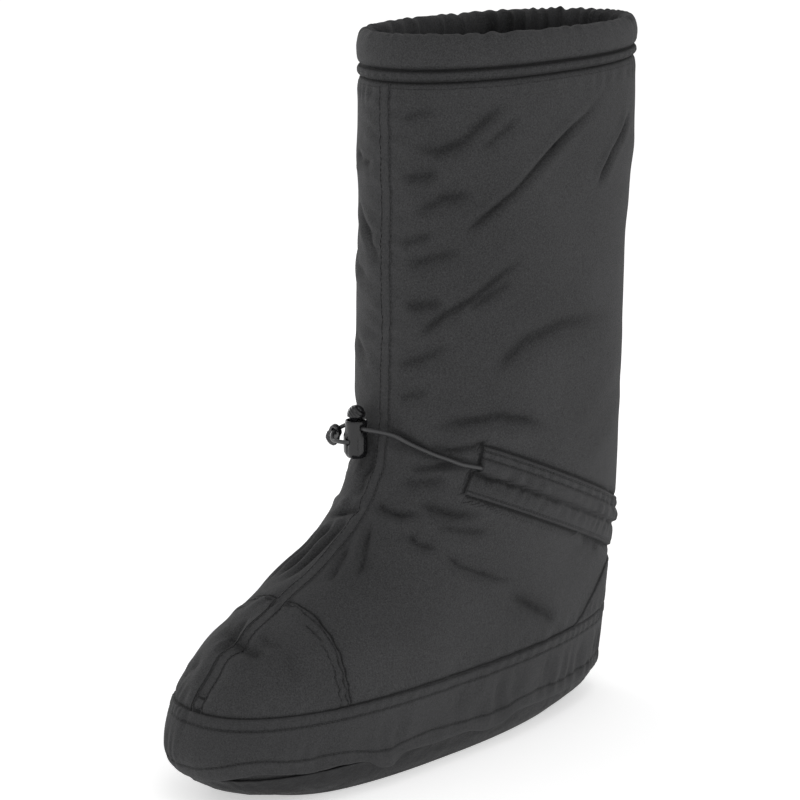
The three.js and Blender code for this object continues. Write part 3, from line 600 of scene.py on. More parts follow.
class Finish:
    """One material under construction."""

    def __init__(self, name, **uniform):
        self.material = bpy.data.materials.new(name)
        self.material.use_nodes = True
        self.tree = self.material.node_tree
        self.shader = self.tree.nodes["Principled BSDF"]
        for socket, value in uniform.items():
            self.shader.inputs[socket.replace("_", " ")].default_value = value

    def node(self, kind, settings=None, inputs=None, output=0):
        made = self.tree.nodes.new(kind)
        for name, value in (settings or {}).items():
            if name == "stops":
                for stop, (place, shade) in zip(made.color_ramp.elements, value):
                    stop.position, stop.color = place, (shade, shade, shade, 1)
            else:
                setattr(made, name, value)
        for name, value in (inputs or {}).items():
            self.feed(made.inputs[name], value)
        return Expression(self, made.outputs[output])

    def feed(self, socket, value):
        if isinstance(value, Expression):
            self.tree.links.new(value.socket, socket)
        else:
            socket.default_value = value

    def coordinates(self, kind="UV"):
        return self.node("ShaderNodeTexCoord", output=kind)

    def noise(self, vector, scale, detail=2.0, roughness=0.5):
        inputs = {"Vector": vector, "Scale": scale, "Detail": detail, "Roughness": roughness}
        return self.node("ShaderNodeTexNoise", {}, inputs, "Fac")

    def kept(self, name):
        """A value that the piece keeps at its points; 0 on a piece without it."""
        return self.node("ShaderNodeAttribute", {"attribute_name": name}, output="Fac")

    def axis(self, vector, name):
        return self.node("ShaderNodeSeparateXYZ", {}, {0: vector}, name)

    def blend(self, factor, dark, light):
        settings = {"data_type": "RGBA", "clamp_factor": True}
        inputs = {0: factor, 6: (*dark, 1), 7: (*light, 1)}
        return self.node("ShaderNodeMix", settings, inputs, 2)

    def bump(self, height, distance, strength=1.0, below=None):
        inputs = {"Height": height, "Distance": distance, "Strength": strength}
        if below is not None:
            inputs["Normal"] = below
        return self.node("ShaderNodeBump", {}, inputs)

    def finish(self, **inputs):
        for socket, value in inputs.items():
            self.feed(self.shader.inputs[socket.replace("_", " ")], value)
        return self.material


print("shader expressions ready")

# %% [markdown]
# The shell is a matt nylon of fine crossed threads, charcoal with a faint heather. Two
# sines across each other, in the cloth's own UV metres, are the weave. Noise at a
# millimetre gives the heather, noise stretched along the cloth gives the small creases
# that are too fine for the mesh, and a slow noise wears it lighter in places. The sheen is
# the fuzz that lights up cloth at its rim.

# %% Woven and coated nylon
THREAD = 0.00042


def nylon(name, dark, light, rough, crinkle, speckle, sheen):
    """Crossed threads: the taller of two sines; colour and gloss wander with noise, and painted
    shade darkens the colour in creases and along seams, a bell of the distance kept at each point."""
    cloth = Finish(name, Sheen_Weight=sheen, Sheen_Roughness=0.5, Specular_IOR_Level=0.16)
    uv = cloth.coordinates("UV")
    place = cloth.coordinates("Object")
    step = 2 * np.pi / THREAD
    weave = (cloth.axis(uv, "X") * step).sine() * (cloth.axis(uv, "Y") * step).sine()
    heather = cloth.noise(place, 2200, 1.0)
    grain = cloth.noise(place, 950, 2.0, 0.6)
    slow = cloth.noise(place, 14, 3.0)
    crumple = cloth.noise(place, 70, 3.0, 0.55)
    # Painted shade: line and beside darken the colour in a crease or along a seam, by the distance and strength kept
    # at each point.
    gap = cloth.kept("crease_gap")
    line = (gap * gap * -0.55).exponential() * cloth.kept("crease_strength")
    beside = (gap * gap * -0.05).exponential() * cloth.kept("crease_strength")
    tone = 0.5 + (heather - 0.5) * speckle + (grain - 0.5) * speckle + (slow - 0.5) * 0.4
    tone = (tone - line * 0.3 - beside * 0.1).clamped()
    soft = cloth.bump(crumple, 0.0022 * crinkle)
    creased = cloth.bump(1 - line, 0.0006, 0.6, soft)
    normal = cloth.bump(grain + weave * 0.15 + heather * 0.5, 0.0003, 0.8, creased)
    gloss = rough + (slow - 0.5) * 0.12 - (heather - 0.5) * 0.1
    colour = cloth.blend(tone, dark, light)
    return cloth.finish(Base_Color=colour, Roughness=gloss, Normal=normal)


SHELL = nylon("shell_nylon", (0.014, 0.014, 0.0145), (0.072, 0.072, 0.074), 0.86, 0.4, 0.85, 0.03)
COATED = nylon("coated_nylon", (0.014, 0.014, 0.0145), (0.066, 0.066, 0.068), 0.76, 0.6, 0.75, 0.02)
SOLE_CLOTH = nylon("sole_cloth", (0.010, 0.010, 0.011), (0.032, 0.032, 0.033), 0.6, 1.2, 0.9, 0.02)
# The lining is far darker than the shell: painted shade for the dim inside of the boot.
LINING = nylon("lining", (0.004, 0.004, 0.005), (0.017, 0.017, 0.018), 0.9, 0.7, 0.9, 0.02)
print("cloth finishes", SHELL.name, COATED.name, SOLE_CLOTH.name, LINING.name)

# %% Thread, cord and plastic
def plain(name, dark, light, rough, scale, bump, **uniform):
    """One colour that wanders a little, with a fine grain in its gloss and surface."""
    stuff = Finish(name, **uniform)
    place = stuff.coordinates("Object")
    patches = stuff.noise(place, scale, 3.0)
    grain = stuff.noise(place, scale * 9, 2.0)
    colour = stuff.blend((patches * 0.7 + grain * 0.3).clamped(), dark, light)
    normal = stuff.bump(grain, bump)
    return stuff.finish(Base_Color=colour, Roughness=rough + (patches - 0.5) * 0.2, Normal=normal)


def braid(name):
    """Two crossing spirals of yarn on the cord's own UV, with painted shade where they dive."""
    cord = Finish(name, Specular_IOR_Level=0.6, Coat_Weight=0.15, Coat_Roughness=0.3)
    uv = cord.coordinates("UV")
    around = cord.axis(uv, "X")
    along = cord.axis(uv, "Y")
    right = (around * 4600 + along * 3100).sine()
    left = (around * 4600 - along * 3100).sine()
    yarn = right * left * 0.5 + 0.5
    fuzz = cord.noise(uv, 2600, 2.0)
    # The colour follows the yarn: painted shade where a yarn dives under another.
    colour = cord.blend((yarn * 0.75 + fuzz * 0.25).clamped(), (0.010, 0.010, 0.011), (0.040, 0.040, 0.042))
    normal = cord.bump(yarn + fuzz * 0.3, 0.0001)
    return cord.finish(Base_Color=colour, Roughness=0.42 - yarn * 0.1, Normal=normal)


THREAD_FINISH = plain("thread", (0.004, 0.004, 0.005), (0.012, 0.012, 0.013), 0.6, 300, 0.0001)
CORD_FINISH = braid("cord")
PLASTIC = plain("lock_plastic", (0.004, 0.004, 0.005), (0.010, 0.010, 0.011), 0.26, 90, 0.00008,
                Specular_IOR_Level=0.4, Coat_Weight=0.2, Coat_Roughness=0.12)
print("small finishes", THREAD_FINISH.name, CORD_FINISH.name, PLASTIC.name)

# %% [markdown]
# The drawcord is a thin round braid. It leaves the ankle band's channel, lies across the
# front of the boot and runs through the lock; its end makes a small loop that carries a
# grip tab. A cord can be a curve with a bevel, but a braid wants real bumps, so it is a
# tube: a circle carried along a smooth path, its radius swelling where a yarn crosses
# over. The path goes through the same points as the frame's cord.

# %% Cord paths
CORD_DIAMETER = 2.6
LOCK_TURN = 350
LOCK_FOOT = 0.9906 * INSTEP_HEIGHT
LOCK_STAND = 9.6
HOLE_HEIGHT = 19.3
ENTRY_HEIGHT = HOLE_HEIGHT - 3.2
CORD_MEETING = 2
RETURN_HEIGHT = 10.5
BARREL_RADIUS = 6.8
LOOP_RADIUS = 5.2
LOOP_STAND = 2.4
THROUGH = BARREL_RADIUS + 0.3
# turn, height as a share of the instep height, stand as a share of the cord's diameter
STRAND = [(60, 0.9672, 1.0), (54, 0.9794, 1.0), (48, 0.99, 0.962), (42, 1.0, 0.808), (36, 1.0156, 0.731)]
LEFT_FRONT = [(29, 1.031, 0.731), (22, 1.0478, 0.731), (15, 1.065, 0.85), (8, 1.0833, 1.3)]
RIGHT_FRONT = [(30, 1.033, 0.769), (24, 1.052, 1.0)]


def strand_points(rows, side):
    """Points on the boot from rows of turn, height and stand; side -1 mirrors them."""
    turn, height, stand = np.array(rows).T
    return at(turn if side > 0 else 360 - turn, height * INSTEP_HEIGHT, stand * CORD_DIAMETER)


def lock_axes():
    """Where the lock's foot is, and its x and y directions: along its hole and inwards."""
    place = at(LOCK_TURN, LOCK_FOOT + HOLE_HEIGHT, LOCK_STAND)
    place[2] = LOCK_FOOT
    inward = -outward(np.float64(LOCK_TURN), np.float64(LOCK_FOOT + HOLE_HEIGHT))
    inward[2] = 0
    inward = unit(inward)
    return place, np.array([inward[1], -inward[0], 0.0]), inward


LOCK_PLACE, LOCK_X, LOCK_Y = lock_axes()


def in_lock(points):
    """From the lock's own x, y, z to the boot's."""
    x, y, z = np.asarray(points, float).T
    return LOCK_PLACE + x[..., None] * LOCK_X + y[..., None] * LOCK_Y + z[..., None] * np.array([0, 0, 1.0])


def smooth_path(points, steps=24):
    """Centripetal curve through points: cubic pieces timed by the root of their length."""
    p = np.vstack([2 * points[0] - points[1], points, 2 * points[-1] - points[-2]])
    gaps = np.linalg.norm(np.diff(p, axis=0), axis=1) ** 0.5
    a, b, c = gaps[:-2, None], gaps[1:-1, None], gaps[2:, None]
    start = (p[1:-2] - p[:-3]) / a - (p[2:-1] - p[:-3]) / (a + b) + (p[2:-1] - p[1:-2]) / b
    end = (p[2:-1] - p[1:-2]) / b - (p[3:] - p[1:-2]) / (b + c) + (p[3:] - p[2:-1]) / c
    s = np.linspace(0, 1, steps, endpoint=False)[None, :, None]
    first, last = p[1:-2, None], p[2:-1, None]
    curve = (2 * s**3 - 3 * s**2 + 1) * first + (3 * s**2 - 2 * s**3) * last
    curve += (s**3 - 2 * s**2 + s) * (start * b)[:, None] + (s**3 - s**2) * (end * b)[:, None]
    return np.vstack([curve.reshape(-1, 3), points[-1]])


def evenly(path, step):
    """The same path with points about step apart."""
    length = np.concatenate([[0], np.cumsum(np.linalg.norm(np.diff(path, axis=0), axis=1))])
    places = np.linspace(0, length[-1], max(8, int(round(length[-1] / step)) + 1))
    return np.stack([np.interp(places, length, path[:, i]) for i in range(3)], -1)


def path_length(path):
    return float(np.linalg.norm(np.diff(path, axis=0), axis=1).sum())


left_rest = in_lock([(BARREL_RADIUS + 4, 0, HOLE_HEIGHT + 0.1), (BARREL_RADIUS, 0, HOLE_HEIGHT),
                     (CORD_MEETING + 0.3, 0, HOLE_HEIGHT)])
left_path = evenly(smooth_path(np.vstack([strand_points(STRAND + LEFT_FRONT, 1), left_rest])), 0.45)
right_rest = in_lock([(-9.4, 3.2, ENTRY_HEIGHT - 0.2), (-6.4, 2.8, ENTRY_HEIGHT), (-4.2, 2.8, ENTRY_HEIGHT)])
right_path = evenly(smooth_path(np.vstack([strand_points(STRAND + RIGHT_FRONT, -1), right_rest])), 0.45)
sweep_angle = np.arange(0, 181, 30)
loop_turn = np.radians(sweep_angle)
loop_arc = np.stack([
    -THROUGH - LOOP_STAND - LOOP_RADIUS * np.sin(loop_turn),
    -LOOP_RADIUS * (1 - np.cos(loop_turn)),
    HOLE_HEIGHT + (RETURN_HEIGHT - HOLE_HEIGHT) * sweep_angle / 180,
], -1)
loop_tail = [(-5.6, -10.2, 10.5), (-2.2, -9.2, 10.5), (0.6, -7.4, 10.5), (1.7, -5.9, 10.5)]
loop_start = [(CORD_MEETING, 0, HOLE_HEIGHT), (-BARREL_RADIUS / 2, 0, HOLE_HEIGHT)]
loop_knots = in_lock(np.vstack([loop_start, loop_arc, loop_tail]))
loop_path = evenly(smooth_path(loop_knots), 0.45)
for title, path in (("left", left_path), ("right", right_path), ("loop", loop_path)):
    print(title, "cord", round(path_length(path), 1), "mm")

# %% Cord tubes
CORD_SIDES = 20


def carried_frames(path):
    """Two directions square to the path that turn as little as they can along it."""
    ways = unit(np.gradient(path, axis=0))
    across = np.empty_like(ways)
    across[0] = unit(np.cross(ways[0], (0.3, 0.2, 1.0)))
    for i in range(1, len(path)):
        level = across[i - 1] - (across[i - 1] @ ways[i]) * ways[i]
        across[i] = level / np.linalg.norm(level)
    return across, np.cross(ways, across)


def tube(name, path, radius, finish, relief_of=None):
    """A circle carried along the path; relief_of(angle, length) changes its radius."""
    across, second = carried_frames(path)
    angle = np.linspace(0, 2 * np.pi, CORD_SIDES, endpoint=False)
    along = np.concatenate([[0], np.cumsum(np.linalg.norm(np.diff(path, axis=0), axis=1))])
    size = radius + (0 if relief_of is None else relief_of(angle[None], along[:, None]))
    size = np.broadcast_to(size, (len(path), CORD_SIDES))[..., None]
    spoke = across[:, None] * np.cos(angle)[None, :, None] + second[:, None] * np.sin(angle)[None, :, None]
    return surface(name, path[:, None] + spoke * size, [finish], caps=(True, True))


def braid_relief(angle, along):
    """Eight yarns crossing eight: low where two of them pass under."""
    turn = along / 1.15
    return 0.04 * np.sin(4 * (angle + turn)) * np.sin(4 * (angle - turn)) - 0.03


cords = []
for title, path in (("cord_left", left_path), ("cord_right", right_path), ("cord_loop", loop_path)):
    cord = tube(f"{title}_braid", path, CORD_DIAMETER / 2, CORD_FINISH, braid_relief)
    cords.append(worn(cord, "cord", title))

# %% [markdown]
# The grip tab is a small moulded oval with an eye, and ribs at its free end. Seen as a
# surface, it is a ring: from the eye's wall over the top to the rim and back underneath.
# Angle round the eye and place across the ring are its two parameters.

# %% Grip tab
TAB_LENGTH = 18
TAB_WIDTH = 9
TAB_THICKNESS = 3
TAB_EYE = 5.2


def tab_outline(angle):
    """An egg round the eye: the distance to the rim in each direction."""
    way = np.stack([np.cos(angle), np.sin(angle)], -1)
    radius = np.linspace(0.5, 16, 400)
    spots = way[:, None] * radius[None, :, None] + (0, TAB_EYE)
    slim = TAB_WIDTH / 2 * (1 - 0.1 * (spots[..., 1] > 0))
    middle = np.clip(spots[..., 1], -TAB_LENGTH / 2 + slim, TAB_LENGTH / 2 - slim)
    inside = np.hypot(spots[..., 0], spots[..., 1] - middle) < slim
    return radius[inside.sum(1) - 1]


def tab_grid():
    """Rows run from the eye over the top to the rim, and back below it."""
    angle = np.linspace(0, 2 * np.pi, 96, endpoint=False)
    rim = tab_outline(angle)
    eye = CORD_DIAMETER / 2 + 0.9
    across = np.concatenate([[0, 0.04, 0.12, 0.22], np.linspace(0.3, 0.93, 17), [0.97, 1.0]])
    lift = np.concatenate([[0.55, 0.85, 1.0], np.full(16, 0.97), [0.93, 0.85, 0.6, 0.0]])
    across = np.concatenate([across, across[-2::-1]])
    lift = np.concatenate([lift, -lift[-2::-1]]) * TAB_THICKNESS / 2
    radius = eye + across[:, None] * (rim - eye)[None]
    x, y = radius * np.cos(angle), radius * np.sin(angle)
    ribs = 0.34 * np.sin(2 * np.pi * y / 2.4) * smoothstep(-y, 3.6, 5.0) * (np.abs(lift[:, None]) > 1.3)
    return np.stack([x, y, lift[:, None] + np.sign(lift[:, None]) * ribs], -1)


TAB_KNOT = 5
tab_index = TAB_KNOT * 24
fine_loop = smooth_path(loop_knots)
tangent = unit(fine_loop[tab_index + 1] - fine_loop[tab_index - 1])
tab_y = unit(np.array([0.65, -0.26, 0.71]))
tab_z = unit(tangent - (tangent @ tab_y) * tab_y)
tab_x = np.cross(tab_y, tab_z)
local = tab_grid()
tab_points = fine_loop[tab_index] + local[..., :1] * tab_x + local[..., 1:2] * tab_y + local[..., 2:] * tab_z
tab = surface("cord_tab_grip", tab_points[::-1], [PLASTIC], wrap_rows=True)
worn(tab, "lock_plastic", "cord_tab")

for cord, path, companions in zip(cords, (left_path, right_path, loop_path), ((), (), (tab,))):
    path[0] * MM
    path * MM

# %% [markdown]
# The upper is one hollow bag of cloth, open at the rim and underneath. Its grid runs up the
# outside and down the inside, and closes on itself in both directions, so it has a real
# wall. Rows are close together over the vamp, where the cloth lies flattest.

# %% Upper
COLUMNS = 384


def upper_grid():
    """Outside rows with the full relief, then inside rows a wall's thickness in."""
    turn = np.linspace(0, 360, COLUMNS, endpoint=False)
    low = np.linspace(6.3, 50, 5)[:-1]
    rows = np.concatenate([low, even_heights(50, WALL_TOP, 226)])
    z = rows[:, None] + (collar_foot(turn) - WALL_TOP)[None] * smoothstep(rows, 340, WALL_TOP)[:, None]
    outside = at(turn[None], z, relief(turn[None], z))
    marks = crease_marks(turn[None], z)
    inner_rows = np.concatenate([[6.3, 20, 40], even_heights(56, WALL_TOP, 24)])[::-1]
    climb = (collar_foot(turn) - WALL_TOP)[None]
    z = inner_rows[:, None] + climb * smoothstep(inner_rows, 340, WALL_TOP)[:, None]
    drape = 0.8 * relief(turn[None], z) + 0.5 * np.sin(np.radians(turn) * 23 + z / 19) * smoothstep(z, 60, 90)
    inside = at(turn[None], z, drape - WALL)
    return np.concatenate([outside, inside]), len(rows), marks


upper_points, lining_row, upper_marks = upper_grid()
upper = surface("upper_shell", upper_points, [SHELL, LINING], wrap_rows=True, lining_from=lining_row)
mark_creases(upper.data, upper_marks)
worn(upper, "shell_nylon", "upper")

# %% [markdown]
# Each overlay is a second ply laid on the upper: a patch of the same grid, lifted by its
# thickness and rounded down at its edges as a folded edge is. Grooves in it follow the
# rows of stitches.

# %% Patches
PLY = 1.2
EDGE = 1.3


def fine_ends(length, step):
    """Shares from 0 to 1, about step apart, with close rows where the edge rounds down."""
    ends = np.array([0, 0.12, 0.4, 0.8]) * EDGE / length
    inner = np.linspace(EDGE * 1.15 / length, 1 - EDGE * 1.15 / length, max(3, int(length / step)))
    return np.concatenate([ends, inner, 1 - ends[::-1]])


def rounded(distance):
    """A quarter circle: 0 at the edge, 1 from EDGE inwards."""
    s = np.clip(distance / EDGE, 0, 1)
    return np.sqrt(np.clip(1 - (1 - s) ** 2, 0, 1))


def edge_lift(u, v, width, height):
    """The rounding of all four edges of a patch of that width and height, in mm."""
    across = rounded(np.minimum(u, 1 - u) * width)
    upward = rounded(np.minimum(v, 1 - v) * height)
    return across[None] * upward[:, None]


def patch(name, turn, z, stand, node, seams=(), marks=None, sewn=True):
    """A ply on the folded upper: outside at stand, underside just clear of the cloth. Each
    seam is a distance to a row of stitches at every point, and how dark the row is."""
    folds = relief(turn, z)
    outer = at(turn, z, folds + 0.15 + stand)
    inner = at(turn, z, folds + 0.1)
    made = slab(name, outer, inner, [SHELL])
    marks = crease_marks(turn, z, sewn) if marks is None else marks
    for row in seams:
        gap, dark = (np.broadcast_to(part, turn.shape).ravel() for part in row)
        closer = np.abs(gap) < np.minimum(np.abs(marks[:, 0]), 2.6)
        marks[closer] = np.stack([gap, dark * (1 - smoothstep(np.abs(gap), 1.4, 2.6))], -1)[closer]
    mark_creases(made.data, marks)
    return worn(made, "shell_nylon", node)


# %% Front seam
SEAM_LIFT = 0.16
SEAM_ROWS = 3.7


def seam_patch():
    """u runs across the seam by its real width, v up the front by length of cloth."""
    u = np.concatenate([np.linspace(0, 0.12, 4), np.linspace(0.16, 0.84, 12), np.linspace(0.88, 1, 4)])
    rows = even_heights(RAND_TOP - 0.5, WALL_TOP - 0.6, 430, turns=(0,))
    x = (2 * u - 1) * SEAM_HALF
    turn = turn_beside(x[None], rows[:, None])
    z = np.broadcast_to(rows[:, None], turn.shape)
    length = np.linspace(0, 470, len(rows))[:, None]
    pinch = 0.22 * gather(length, 8.5, 0.2) * np.cos(np.pi * x[None] / 9)
    grooves = 0.3 * np.exp(-(((np.abs(x[None]) - SEAM_ROWS) / 0.6) ** 2))
    ends = rounded(np.minimum(length, 470 - length))
    lift = SEAM_LIFT * rounded(np.minimum(u, 1 - u) * 2 * SEAM_HALF)[None] * (0.4 + 0.6 * ends)
    dash = 0.62 + 0.5 * np.cos(2 * np.pi * length / 3.3) + 0.3 * (length < 60)
    seams = [((np.abs(x[None]) - SEAM_ROWS) * 2.2, dash), ((length - 2.5) * 1.6, 1.6), ((length - 10.5) * 1.6, 1.6)]
    return turn, z, lift * (1 + pinch) - grooves * (lift > 0.06), seams


turn, z, stand, seams = seam_patch()
front_seam = patch("front_seam_ply", turn, z, stand, "front_seam", seams)

# %% Toe panels
TOE_LIFT = 0.55
TOE_ROWS = (2.2, 7.6)


def toe_panel(side):
    """u runs from the front seam round to the cross seam, v from the rand up to it."""
    near = float(turn_beside(np.float64(SEAM_HALF + 0.4), np.float64(80.0)))
    far = float(turn_at(np.float64(-TOE_SEAM), np.float64(RAND_TOP + 2.0)))
    u = fine_ends(110, 1.7)
    v = fine_ends(60, 1.7)
    columns = near + (far - near) * u
    heights = np.linspace(RAND_TOP, 130, 300)
    edge_y = skin(columns[:, None], heights[None])[..., 1]
    top = np.array([np.interp(-TOE_SEAM, row, heights) for row in edge_y])
    z = RAND_TOP - 0.4 + (top - RAND_TOP + 0.4)[None] * v[:, None]
    near_line = turn_beside(SEAM_HALF + 0.4, z)
    turn = near_line + (far - near_line) * u[None]
    from_seam = (-TOE_SEAM - skin(turn, z)[..., 1]) * 1.2
    lift = TOE_LIFT * rounded(np.maximum(from_seam, 0)) * rounded((1 - u) * 110)[None]
    wander = 0.5 * gather(z * 1.3 + columns[None], 8.3, 0.7)
    rows = [from_seam - row + wander for row in TOE_ROWS]
    groove = sum(0.4 * np.exp(-((gap / 0.8) ** 2)) for gap in rows)
    pinch = 0.45 * gather(z * 1.3 + columns[None], 7.1, 2.2) * np.exp(-(((from_seam - 4.8) / 2.4) ** 2))
    stand = lift + (pinch - groove) * (lift > 0.3)
    dash = 0.95 + 0.4 * np.cos(2 * np.pi * z * 1.2 / 3.3)
    return (turn if side > 0 else 360 - turn), z, stand, [(gap * 2.2, dash) for gap in rows]


for side, label in ((1, "left"), (-1, "right")):
    turn, z, stand, seams = toe_panel(side)
    step = 1 if side > 0 else -1
    seams = [(gap[:, ::step], dark[:, ::step]) for gap, dark in seams]
    patch(f"toe_panel_{label}_ply", turn[:, ::step], z[:, ::step], stand[:, ::step], f"toe_panel_{label}", seams)

# %% Heel counter
COUNTER_HEIGHT = 86
COUNTER_TOP_Y = 152.9
COUNTER_LENGTH = 45.5


def counter_patch():
    """v runs up the slanting front edge, u from that edge round the heel to the other."""
    u, v = fine_ends(170, 2.0), fine_ends(30, 1.2)
    drop = 2 * np.abs(2 * u - 1) ** 4
    z = RAND_TOP + 0.2 + (COUNTER_HEIGHT - drop[None] - RAND_TOP - 0.2) * v[:, None]
    start = turn_at(COUNTER_TOP_Y - COUNTER_LENGTH * (1 - v), RAND_TOP + 28 * v)[:, None]
    turn = start + (360 - 2 * start) * u[None]
    lift = PLY * edge_lift(u, v, 170, 30)
    rows = [COUNTER_HEIGHT - z - 3, ((0.5 - np.abs(u - 0.5)) * 170 - 3)[None]]
    groove = sum(0.4 * np.exp(-((gap / 0.8) ** 2)) for gap in rows)
    return turn, z, lift - groove * (lift > 0.5), [(gap * 2.2, 0.7) for gap in rows]


turn, z, stand, seams = counter_patch()
counter = patch("heel_counter_ply", turn, z, stand, "heel_counter", seams, sewn=False)

# %% [markdown]
# The ankle band slopes down towards the heel between two parallel planes. It is a flap with
# a sewn channel along it for the drawcord, and the thread puckers it into small cells.
# Its height on the boot is found by walking to where the sloping plane meets the skin.

# %% Ankle band
CHANNEL_RISE = 1.7
MOUTH_RISE = 2.2


def slant_height(turn, level):
    """The height z on the skin where z = level - slope * y."""
    z = np.broadcast_to(level, np.broadcast_shapes(np.shape(turn), np.shape(level))) * 1.0
    for _ in range(12):
        z = level - BAND_SLOPE * skin(turn, z)[..., 1]
    return z


def band_patch():
    """u runs round the back from one mouth to the other, v up the band."""
    length = 430
    u, v = fine_ends(length, 1.4), fine_ends(BAND_WIDTH, 0.8)
    up = v * BAND_WIDTH
    start = BAND_START - 3 * (1 - smoothstep(up, CHANNEL - 5.2, CHANNEL - 3.8))
    turn = start[:, None] + (360 - 2 * start)[:, None] * u[None]
    z = slant_height(turn, (BAND_LEVEL + up)[:, None])
    far = (u * length)[None]
    lift = 1.3 * edge_lift(u, v, length, BAND_WIDTH)
    over = (smoothstep(up, CHANNEL - 5.0, CHANNEL - 3.2) * (1 - smoothstep(up, CHANNEL, CHANNEL + 6.5)))[:, None]
    round_cord = np.clip(1 - ((up - CHANNEL) / 4.4) ** 2, 0, 1)[:, None] ** 0.6
    mouth = np.exp(-((np.minimum(u, 1 - u) * length / 16) ** 2))[None]
    wobble = gather(far, 14.5, 2.1)
    low_cells = wobble * (0.6 + 0.4 * gather(far, 61, 0.3)) + 0.5 * gather(far, 8.2, 1.0)
    cells = 0.5 * gather(far, 9.5, 0.5) * np.exp(-(((up - 28.5) / 2.6) ** 2))[:, None]
    cells = cells + 0.6 * low_cells * np.exp(-(((up - 9.5) / 5) ** 2))[:, None]
    cells = cells + 0.45 * gather(far, 21, 4.0) * np.exp(-(((up - CHANNEL) / 4) ** 2))[:, None]
    groove = sum(0.45 * np.exp(-(((up - row) / 0.8) ** 2)) for row in (2.4, 25.9, 30.8))[:, None]
    tuck = (1.1 + 0.4 * wobble) * np.exp(-(((up - CHANNEL + 6.0) / 1.3) ** 2))[:, None]
    ends = rounded(np.minimum(u, 1 - u) * length)[None]
    rise = CHANNEL_RISE * over * (1 + 0.25 * wobble) + MOUTH_RISE * mouth * round_cord
    stand = lift + (rise + cells - groove - tuck) * ends * (lift > 0.6)
    # The marks paint a shadow under the channel's fold, darkest near the mouths, where close is near 1.
    close = np.exp(-((np.minimum(far, length - far) / 62) ** 2))
    tuck_gap = (up - CHANNEL + 6.0)[:, None] + 1.0 * wobble + 0.5 * gather(far, 5.7, 0.4)
    tuck_gap = tuck_gap * np.where(tuck_gap < 0, 1 - 0.6 * close, 1)
    marks = np.stack([tuck_gap, (0.4 + 0.9 * close) * (1 - smoothstep(np.abs(tuck_gap), 3, 6))], -1)
    seams = [((up - row)[:, None] * 1.9, 0.8) for row in (2.4, 25.9, 30.8)]
    return turn, z, stand, seams, marks.reshape(-1, 2)


turn, z, stand, seams, marks = band_patch()
band = patch("ankle_band_ply", turn, z, stand, "ankle_band", seams, marks)

# %% [markdown]
# The rand is the coated band round the foot. Its top edge is folded and sewn twice, and
# its hem hangs loose over the sole's edge, so it wanders up and down, bulges, and is
# gathered. One closed profile, carried round the boot, makes both faces at once.

# %% Rand
HEM_PLY = 1.6
LIP_TOP = 20.3
HEM_LINE = [(0, 16), (12, 19), (20, 21.5), (31, 24.5), (47, 20.5), (57, 21.5), (65, 19.5), (67, 11), (71, 10.5),
            (74, 18.5), (83, 16.5), (90, 17), (93, 11.5), (98, 12.5), (101, 18), (120, 15), (140, 16), (165, 17.5), (190, 16), (215, 18),
            (235, 14.5), (250, 19), (262, 14), (275, 18), (290, 13), (305, 19.5), (320, 21), (335, 22),
            (348, 15.5), (360, 16)]


def hem_height(turn, blur=1.4):
    """Height of the hem between the listed places, smoothed over blur degrees."""
    fine = np.arange(0, 360.0, 1)
    rough = np.interp(fine, *np.array(HEM_LINE).T)
    weights = np.exp(-((np.arange(-12, 13) / blur) ** 2))
    weights /= weights.sum()
    smooth = sum(w * np.roll(rough, k) for w, k in zip(weights, range(-12, 13)))
    return np.interp(np.mod(turn, 360), np.append(fine, 360), np.append(smooth, smooth[0]))


def rand_relief(turn, z):
    """Upright gathers that grow towards the hem, small cells along the two seams."""
    arc = np.radians(turn) * 150
    wide = gather(arc, 31, 0.9) * gather(arc, 47, 2.0)
    calm = 1 - 0.65 * np.exp(-(((np.mod(turn - 12 + 180, 360) - 180) / 32) ** 2))
    total = 1.2 * calm * wide * np.exp(-(((z - 32) / 11) ** 2))
    total += 0.5 * calm * gather(arc, 9.5, 1.3) * np.exp(-(((z - 53) / 3.2) ** 2))
    total += 0.5 * calm * gather(arc, 14, 3.1) * np.exp(-(((z - 24) / 5) ** 2))
    for place, height, depth, width, tall in (
            (358, 52, -1.1, 2.0, 7), (88, 41, -1.7, 2.2, 9), (92, 40, 1.2, 2.6, 9), (96, 38, -1.2, 2.0, 8),
            (70, 20, 1.4, 3.0, 12), (101, 18, 1.6, 5.0, 14), (42, 38, 0.9, 9.0, 8), (20, 36, -0.8, 9.0, 8),
            (112, 38, -1.2, 2.0, 9), (116, 36, 0.9, 3.0, 9), (268, 40, -1.6, 2.4, 9), (300, 36, 1.0, 8.0, 8)):
        away = (np.mod(turn - place + 180, 360) - 180) * 2.6
        total += depth * np.exp(-((away / (width * 2.6 / 2)) ** 2) - ((z - height) / tall) ** 2)
    return total


